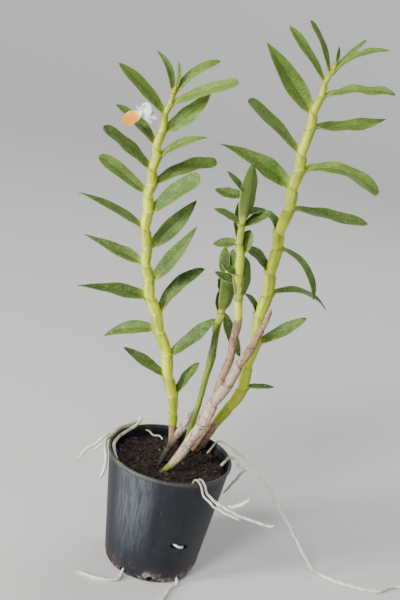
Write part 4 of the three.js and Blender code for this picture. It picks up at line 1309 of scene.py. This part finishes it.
def pot_profile():
    """The pot's section from the middle of its underside, up the outside, over the rolled rim
    and down the inside to the middle of its floor."""
    pot = bpy.context.scene.orchid.pot
    height, rim, base = pot.height / MM, pot.rim_radius / MM, pot.base_radius / MM
    wall, floor, foot = pot.wall / MM, pot.floor / MM, pot.foot_round / MM
    bead, bead_height = pot.bead / MM, pot.bead_height / MM
    neck = height - bead_height
    outside = [(0, 0.5), (base * 0.4, 0.45), (base * 0.8, 0.35), (base - foot - 1.2, 0)]
    outside += arc((base - foot, foot), foot, -90, 0, 9)
    outside += [(wall_radius(z), z) for z in np.linspace(foot + 2, neck - 1.4, 34)]
    outside += [(wall_radius(neck) + bead * q, neck - 0.9 + 0.9 * q) for q in (0.1, 0.5, 0.85)]
    outside += arc((rim - 0.5, neck + 0.6), 0.5, -30, 0, 4)
    outside += arc((rim - 0.75, height - 0.75), 0.75, 0, 90, 7)
    inner = wall_radius(height) - wall
    outside += arc((inner + 0.35, height - 0.35), 0.35, 90, 180, 5)
    inside = [(wall_radius(z) - wall, z) for z in np.linspace(neck, foot + 2, 30)]
    inside += arc((base - foot, foot), foot - wall, 0, -90, 8)
    inside = [(r, max(z, floor)) for r, z in inside]
    return outside + inside + [(base * 0.4, floor), (0, floor)]


def cutter(name, rings, foot, head):
    mesh = lay_mesh(name, ring_shell(rings * MM, foot * MM, head * MM, {}))
    tool = bpy.data.objects.new(name, mesh)
    bpy.context.scene.collection.objects.link(tool)
    return tool


def peg(azimuth, radius, height, wide, tall, tilt=0, power=1, depth=7, around=28):
    """A bar along the radius at an azimuth, with a rounded section: a superellipse of the given
    half width and half height, tilted in the wall's plane."""
    turn = turns(around)
    u = wide * signed_power(np.cos(turn), power)
    v = tall * signed_power(np.sin(turn), power)
    a = math.radians(tilt)
    u, v = u * math.cos(a) + v * math.sin(a), -u * math.sin(a) + v * math.cos(a)
    out, side = polar(azimuth, 1, 0), polar(azimuth + 90, 1, 0)
    middle = out * radius + [0, 0, height]
    ends = np.array([-depth, depth])
    rings = middle + out * ends[:, None, None] + (side * u[:, None] + UP * v[:, None])[None]
    return rings, middle - out * depth, middle + out * depth


def turn_about(axis, angles):
    """Rotation matrices about an axis, numbered from 0 for X, one for each angle."""
    turn = np.zeros((len(angles), 3, 3))
    i, j = (axis + 1) % 3, (axis + 2) % 3
    turn[:, axis, axis] = 1
    turn[:, i, i] = turn[:, j, j] = np.cos(angles)
    turn[:, j, i] = np.sin(angles)
    turn[:, i, j] = -np.sin(angles)
    return turn


def chip_shells(count, length, seed, rings=5, around=8):
    """Bark chips as one surface: flattened superellipsoids of a few rings of points, bent and
    roughened, scattered evenly over the mix and laid nearly flat, each carrying its own shade."""
    draw = np.random.default_rng(seed)
    up = np.linspace(-0.86, 0.86, rings)[:, None] * np.pi / 2
    turn = turns(around)[None]
    level = signed_power(np.cos(up), 0.5)
    x, y = level * signed_power(np.cos(turn), 0.55), level * signed_power(np.sin(turn), 0.55)
    unit_chip = np.stack([x, y, signed_power(np.sin(up), 0.7) + 0 * turn], -1).reshape(-1, 3)
    unit_chip = np.concatenate([unit_chip, [-UP, UP]])
    rough = 1 + draw.uniform(-0.22, 0.22, (count, len(unit_chip), 1))
    size = length * draw.uniform(0.45, 1.25, (count, 1, 1)) ** 1.5 / 2
    shape = draw.uniform((0.75, 0.35, 0.16), (1.3, 0.75, 0.34), (count, 3))[:, None]
    chips = unit_chip[None] * rough * size * shape
    local = chips.copy()
    bend = 0.16 * (chips[..., 0] ** 2) / np.maximum(size[..., 0], 0.3)
    chips[..., 2] += bend * draw.uniform(-1, 1, (count, 1))
    yaw, tilt = draw.uniform(0, 2 * np.pi, count), draw.normal(0, 0.42, (2, count))
    turned = turn_about(2, yaw) @ turn_about(0, tilt[0]) @ turn_about(1, tilt[1])
    chips = chips @ np.swapaxes(turned, 1, 2)
    reach = wall_radius(mix_level()) - 3.2
    radius, turn = reach * np.sqrt(draw.uniform(0, 1, count)), draw.uniform(0, 2 * np.pi, count)
    x, y = radius * np.cos(turn), radius * np.sin(turn)
    z = mix_surface(x, y) + draw.uniform(-0.25, 0.7, count)
    chips = chips + np.stack([x, y, z], -1)[:, None]
    far = np.hypot(chips[..., 0], chips[..., 1])
    chips[..., :2] *= np.minimum(1, (reach + 1.6) / np.maximum(far, 1))[..., None]
    pole = rings * around
    start = (np.arange(count) * len(unit_chip))[:, None, None]
    quads, fans = ((f[None] + start) for f in ring_faces(rings, around, pole, pole + 1))
    shade = np.repeat(draw.uniform(0, 1, count), len(unit_chip))[:, None]
    carried = {"tint": shade, "stem": local.reshape(-1, 3) * MM + shade * 0.2}
    points = chips.reshape(-1, 3) * MM
    return Shell(points, quads.reshape(-1, 4), fans.reshape(-1, 3), carried)


def mix_surface(x, y):
    """Height of the mix's top at a place: its level with low mounds and hollows."""
    flat = np.stack([x, y, 0 * x], -1)
    return mix_level() - 0.3 + 0.7 * ripple(flat, 22, seed=3) + 0.3 * ripple(flat, 6, seed=4)


def mix_shell():
    """The mix as a turned solid inside the pot, its sides lumpy and its top the mix's surface."""
    pot = bpy.context.scene.orchid.pot
    clear = pot.wall / MM + 0.3
    base, floor = pot.base_radius / MM, pot.floor / MM + 0.3
    foot = pot.foot_round / MM - clear
    profile = [(0, floor), (base * 0.5, floor)]
    profile += arc((base - clear - foot, floor + foot), foot, -90, 0, 5)
    top = mix_level()
    profile += [(wall_radius(z) - clear, z) for z in np.linspace(foot + 3, top - 0.6, 60)]
    profile += [(r, top) for r in np.linspace(wall_radius(top) - clear - 0.4, 0.5, 60)]
    profile += [(0, top)]

    def wobble(rings):
        lumps = np.abs(ripple(rings, 4.5, seed=21)) * 0.5
        lumps = lumps + np.abs(ripple(rings, 1.8, seed=22)) * 0.25
        wall = blend(4, 8, rings[..., 2]) * (rings[..., 2] < top - 0.3)
        far = np.hypot(rings[..., 0], rings[..., 1])
        rings[..., :2] *= (1 - wall * lumps / np.maximum(far, 1))[..., None]
        surface = mix_surface(rings[..., 0], rings[..., 1]) + 0.4 * ripple(rings, 1.7, seed=23)
        rings[..., 2] = np.where(rings[..., 2] > top - 0.3, surface, rings[..., 2])
        return rings

    shell = turned_shell(profile, 160, wobble)
    shell.points[-1, 2] = (mix_surface(np.zeros(1), np.zeros(1))[0]) * MM
    shell.carried = {"tint": np.full((shell.size(), 1), 0.25), "stem": shell.points.copy()}
    return shell


# ---- Operators ----
class ORCHID_OT_pot(bpy.types.Operator):
    """Turn the nursery pot and cut its drain holes and slit"""

    bl_idname = "orchid.pot"
    bl_label = "Nursery pot"

    def execute(self, context):
        pot = context.scene.orchid.pot
        mesh = lay_mesh("nursery_pot_shell", turned_shell(pot_profile(), 180))
        body = bpy.data.objects.new("nursery_pot_cut", mesh)
        context.scene.collection.objects.link(body)
        base, drain, drain_z = pot.base_radius / MM, pot.drain_radius / MM, pot.drain_height / MM
        tools = [
            cutter("drain", *peg(drain_azimuth(i), base, drain_z, drain, drain))
            for i in range(pot.drain_holes)
        ]
        slit_z = pot.slit_height / MM
        place = (SLIT_AZIMUTH, wall_radius(slit_z), slit_z)
        slit = peg(*place, SLIT_LENGTH / 2, SLIT_WIDTH / 2, SLIT_TILT, power=0.45, depth=3)
        tools.append(cutter("slit", *slit))
        for tool in tools:
            cut = body.modifiers.new(tool.name, "BOOLEAN")
            cut.operation, cut.solver, cut.object = "DIFFERENCE", "EXACT", tool
        context.view_layer.update()
        evaluated = body.evaluated_get(context.evaluated_depsgraph_get())
        done = bpy.data.meshes.new_from_object(evaluated)
        done.name = "potted_nursery_pot"
        for made in [body, *tools]:
            bpy.data.objects.remove(made)
        done.shade_smooth()
        done.set_sharp_from_angle(angle=math.radians(40))
        finish = finish_once("pot_plastic", pot_finish, pot)
        add_piece("pot_shell", done, [finish], ["nursery_pot"])
        return {"FINISHED"}


class ORCHID_OT_mix(bpy.types.Operator):
    """Fill the pot with bark mix and scatter chips over it"""

    bl_idname = "orchid.mix"
    bl_label = "Bark mix"

    def execute(self, context):
        settings = context.scene.orchid
        finish = finish_once("bark_mix", mix_finish, settings.mix)
        chips = chip_shells(settings.mix.chips, settings.mix.chip_length / MM, CHIP_SEED)
        mesh = lay_mesh("bark_mix", join_shells([mix_shell(), chips]))
        add_piece("bark_mix", mesh, [finish], ["potting_mix"])
        return {"FINISHED"}


class ORCHID_OT_canes(bpy.types.Operator):
    """Grow the six canes with their sheaths"""

    bl_idname = "orchid.canes"
    bl_label = "Canes"

    def execute(self, context):
        settings = context.scene.orchid
        slots = {"left_cane": "green_cane", "right_cane": "green_cane", "green_cane": "young_stem"}
        for name in CANES:
            leafy = name in LEAVES
            shell = stem_shell(
                cane_rows(name),
                cane_nodes(name),
                COATS[name],
                flare=0.9 if leafy else 0.15,
                slim=0.3 if leafy else 0.0,
            )
            slot = slots.get(name, "dry_cane")
            finish = finish_once(slot, cane_finish, settings.cane)
            add_piece(name + "_stem", lay_mesh(name, shell), [finish], [name])
        return {"FINISHED"}


class ORCHID_OT_leaves(bpy.types.Operator):
    """Grow the single leaves up the two tall canes"""

    bl_idname = "orchid.leaves"
    bl_label = "Leaves"

    def execute(self, context):
        settings = context.scene.orchid
        finish = finish_once("leaf_green", leaf_finish, settings.leaf)
        for cane, leaves in LEAVES.items():
            for i, leaf in enumerate(leaves):
                node = f"{cane}_leaf_{i + 1:02d}"
                shell = leaf_shell(cane, leaf, LEAF_SEEDS[cane] + i)
                add_piece(node + "_blade", lay_mesh(node, shell), [finish], [node])
        return {"FINISHED"}


class ORCHID_OT_shoots(bpy.types.Operator):
    """Grow the sheathed shoots with their tufts of leaves"""

    bl_idname = "orchid.shoots"
    bl_label = "Leafy shoots"

    def execute(self, context):
        settings = context.scene.orchid
        finishes = [
            finish_once("leaf_green", leaf_finish, settings.leaf),
            finish_once("shoot_sheath", cane_finish, settings.cane),
        ]
        for seed, (node, (cane, start, leaves)) in zip(SHOOT_SEEDS, SHOOTS.items()):
            rows = cane_rows(cane)
            low = start + mix_level()
            first = np.array([np.interp(low, rows[:, 2], rows[:, j]) for j in range(4)])
            rows = np.concatenate([[first], rows[rows[:, 2] > low + 2]])
            nodes = np.array(leaf_nodes(leaves), float)
            coat = {"fresh": [(0, 0.55), (start + 30, 0.3), (start + 60, 0.8)]}
            sheaths = {"flare": 0.7, "slim": 0.3, "around": 32, "step": 0.35, "finish": 1}
            shells = [stem_shell(rows, nodes, coat, SHEATH_GROW, **sheaths)]
            shells += [leaf_shell(cane, leaf, seed + i) for i, leaf in enumerate(leaves)]
            mesh = lay_mesh(node, join_shells(shells))
            add_piece(node + "_tuft", mesh, finishes, [node])
        return {"FINISHED"}


class ORCHID_OT_flower(bpy.types.Operator):
    """Open the flower on the left cane"""

    bl_idname = "orchid.flower"
    bl_label = "Flower"

    def execute(self, context):
        flower = context.scene.orchid.flower
        x, y, z, radius = cane_at("left_cane", flower.height / MM)
        middle = np.array([x - flower.reach / MM - radius, y - flower.forward / MM, z])
        shells = stalk_shells(np.array([x, y, z]), middle)
        for seed, tepal in enumerate(TEPALS, TEPAL_SEED):
            shells.append(blade_shell(middle, tepal, seed, petal_width, **TEPAL_SHAPE))
        lip = blade_shell(middle, LIP, LIP_SEED, petal_width, **LIP_SHAPE)
        white = finish_once("flower_white", tepal_finish, flower)
        orange = finish_once("flower_orange", lip_finish, flower)
        tepals = lay_mesh("flower_tepals", join_shells(shells))
        add_piece("flower_petals", tepals, [white], ["flower_tepals"])
        scoop = lay_mesh("flower_lip", lip)
        add_piece("flower_lip_scoop", scoop, [orange], ["flower_lip"])
        return {"FINISHED"}


class ORCHID_OT_roots(bpy.types.Operator):
    """Grow the aerial roots over the rim and out of the drain holes"""

    bl_idname = "orchid.roots"
    bl_label = "Roots"

    def execute(self, context):
        settings = context.scene.orchid
        finish = finish_once("root_velamen", root_finish, settings.root)
        for seed, name in zip(ROOT_SEEDS, ROOTS):
            mesh = lay_mesh(name, root_shell(name, seed))
            add_piece(name + "_velamen", mesh, [finish], [name])
        return {"FINISHED"}


def aim_at(holder, place, target):
    """Puts a lamp at a place and turns it to face a target."""
    holder.location = place
    holder.rotation_mode = "QUATERNION"
    holder.rotation_quaternion = (target - Vector(place)).to_track_quat("-Z", "Y")


def camera_pose(pitch, roll, place):
    """A camera's matrix: it looks along +Y, turned down by pitch and then about its view."""
    ahead = Vector((0, math.cos(pitch), -math.sin(pitch)))
    right = Vector((1, 0, 0))
    up = right.cross(ahead)
    across = math.cos(roll) * right + math.sin(roll) * up
    upward = -math.sin(roll) * right + math.cos(roll) * up
    pose = Matrix((across, upward, -ahead)).transposed().to_4x4()
    pose.translation = place
    return pose


def floor_shell():
    """A round floor in metres, flat to its edge and then curving up by a quarter circle."""
    bend = np.radians(np.arange(6, 91, 6))
    flat = np.linspace(0.05, FLOOR_FLAT, 12)
    radius = np.concatenate([flat, FLOOR_FLAT + FLOOR_BEND * np.sin(bend)])
    height = np.concatenate([np.zeros(12), FLOOR_BEND * (1 - np.cos(bend))]) - FLOOR_BELOW
    rings = level_rings(turns(96), radius[:, None], height[:, None])
    shell = ring_shell(rings[::-1], np.zeros(3), np.array([0, 0, height[0]]), {})
    shell.points, shell.triangles = shell.points[:-1], shell.triangles[:96]
    return shell


class ORCHID_OT_stage(bpy.types.Operator):
    """Lay the pale floor and set the soft lamps and the camera"""

    bl_idname = "orchid.stage"
    bl_label = "Studio"

    def execute(self, context):
        scene = context.scene
        stage = scene.orchid.stage
        floor = bpy.data.objects.new("studio_floor", lay_mesh("studio_floor", floor_shell()))
        scene.collection.objects.link(floor)
        floor.data.materials.append(finish_once("studio_paper", floor_finish, stage))
        holders = []
        for name, (place, share, angle) in SUNS.items():
            sun = bpy.data.lights.new("lamp_" + name, "SUN")
            sun.energy, sun.angle = stage.sun_strength * share, math.radians(angle)
            holders.append((sun, place))
        for name, (place, size, share, colour) in LAMPS.items():
            lamp = bpy.data.lights.new("lamp_" + name, "AREA")
            lamp.shape, lamp.size, lamp.size_y = "RECTANGLE", *size
            lamp.energy, lamp.color = stage.lamp_power * share, colour
            holders.append((lamp, place))
        for lamp, place in holders:
            holder = bpy.data.objects.new(lamp.name, lamp)
            aim_at(holder, place, Vector(LAMP_TARGET))
            scene.collection.objects.link(holder)
        scene.world = bpy.data.worlds.new("studio")
        scene.world.use_nodes = True
        sky = scene.world.node_tree.nodes["Background"]
        sky.inputs["Color"].default_value = SKY_COLOUR
        sky.inputs["Strength"].default_value = SKY_STRENGTH
        lens = bpy.data.cameras.new("camera")
        lens.lens, lens.sensor_width = stage.lens, SENSOR_WIDTH
        camera = bpy.data.objects.new("camera", lens)
        camera.matrix_world = camera_pose(stage.pitch, stage.roll, CAMERA_PLACE)
        scene.collection.objects.link(camera)
        scene.camera = camera
        return {"FINISHED"}


class ORCHID_PT_panel(bpy.types.Panel):
    """The potted orchid's pieces and their settings"""

    bl_idname = "ORCHID_PT_panel"
    bl_label = "Potted orchid"
    bl_space_type = "VIEW_3D"
    bl_region_type = "UI"
    bl_category = "Orchid"

    def draw(self, context):
        settings = context.scene.orchid
        for operator in OPERATORS:
            key = operator.bl_idname.split(".")[1]
            box = self.layout.box()
            box.operator(operator.bl_idname)
            group = getattr(settings, PANEL_SETTINGS.get(key, key))
            for field in group.bl_rna.properties:
                if field.identifier not in {"rna_type", "name"}:
                    box.prop(group, field.identifier)


GROUPS = (
    PotSettings,
    MixSettings,
    CaneSettings,
    LeafSettings,
    RootSettings,
    FlowerSettings,
    StageSettings,
    OrchidSettings,
)
OPERATORS = (
    ORCHID_OT_pot,
    ORCHID_OT_mix,
    ORCHID_OT_canes,
    ORCHID_OT_leaves,
    ORCHID_OT_shoots,
    ORCHID_OT_flower,
    ORCHID_OT_roots,
    ORCHID_OT_stage,
)
PANEL_SETTINGS = {"canes": "cane", "leaves": "leaf", "shoots": "leaf", "roots": "root"}


def register():
    for made in (*GROUPS, *OPERATORS, ORCHID_PT_panel):
        bpy.utils.register_class(made)
    bpy.types.Scene.orchid = PointerProperty(type=OrchidSettings)


def unregister():
    del bpy.types.Scene.orchid
    for made in reversed((*GROUPS, *OPERATORS, ORCHID_PT_panel)):
        bpy.utils.unregister_class(made)


def main():
    """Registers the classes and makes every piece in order."""
    register()
    for operator in OPERATORS:
        group, name = operator.bl_idname.split(".")
        getattr(getattr(bpy.ops, group), name)()


if __name__ == "__main__":
    main()
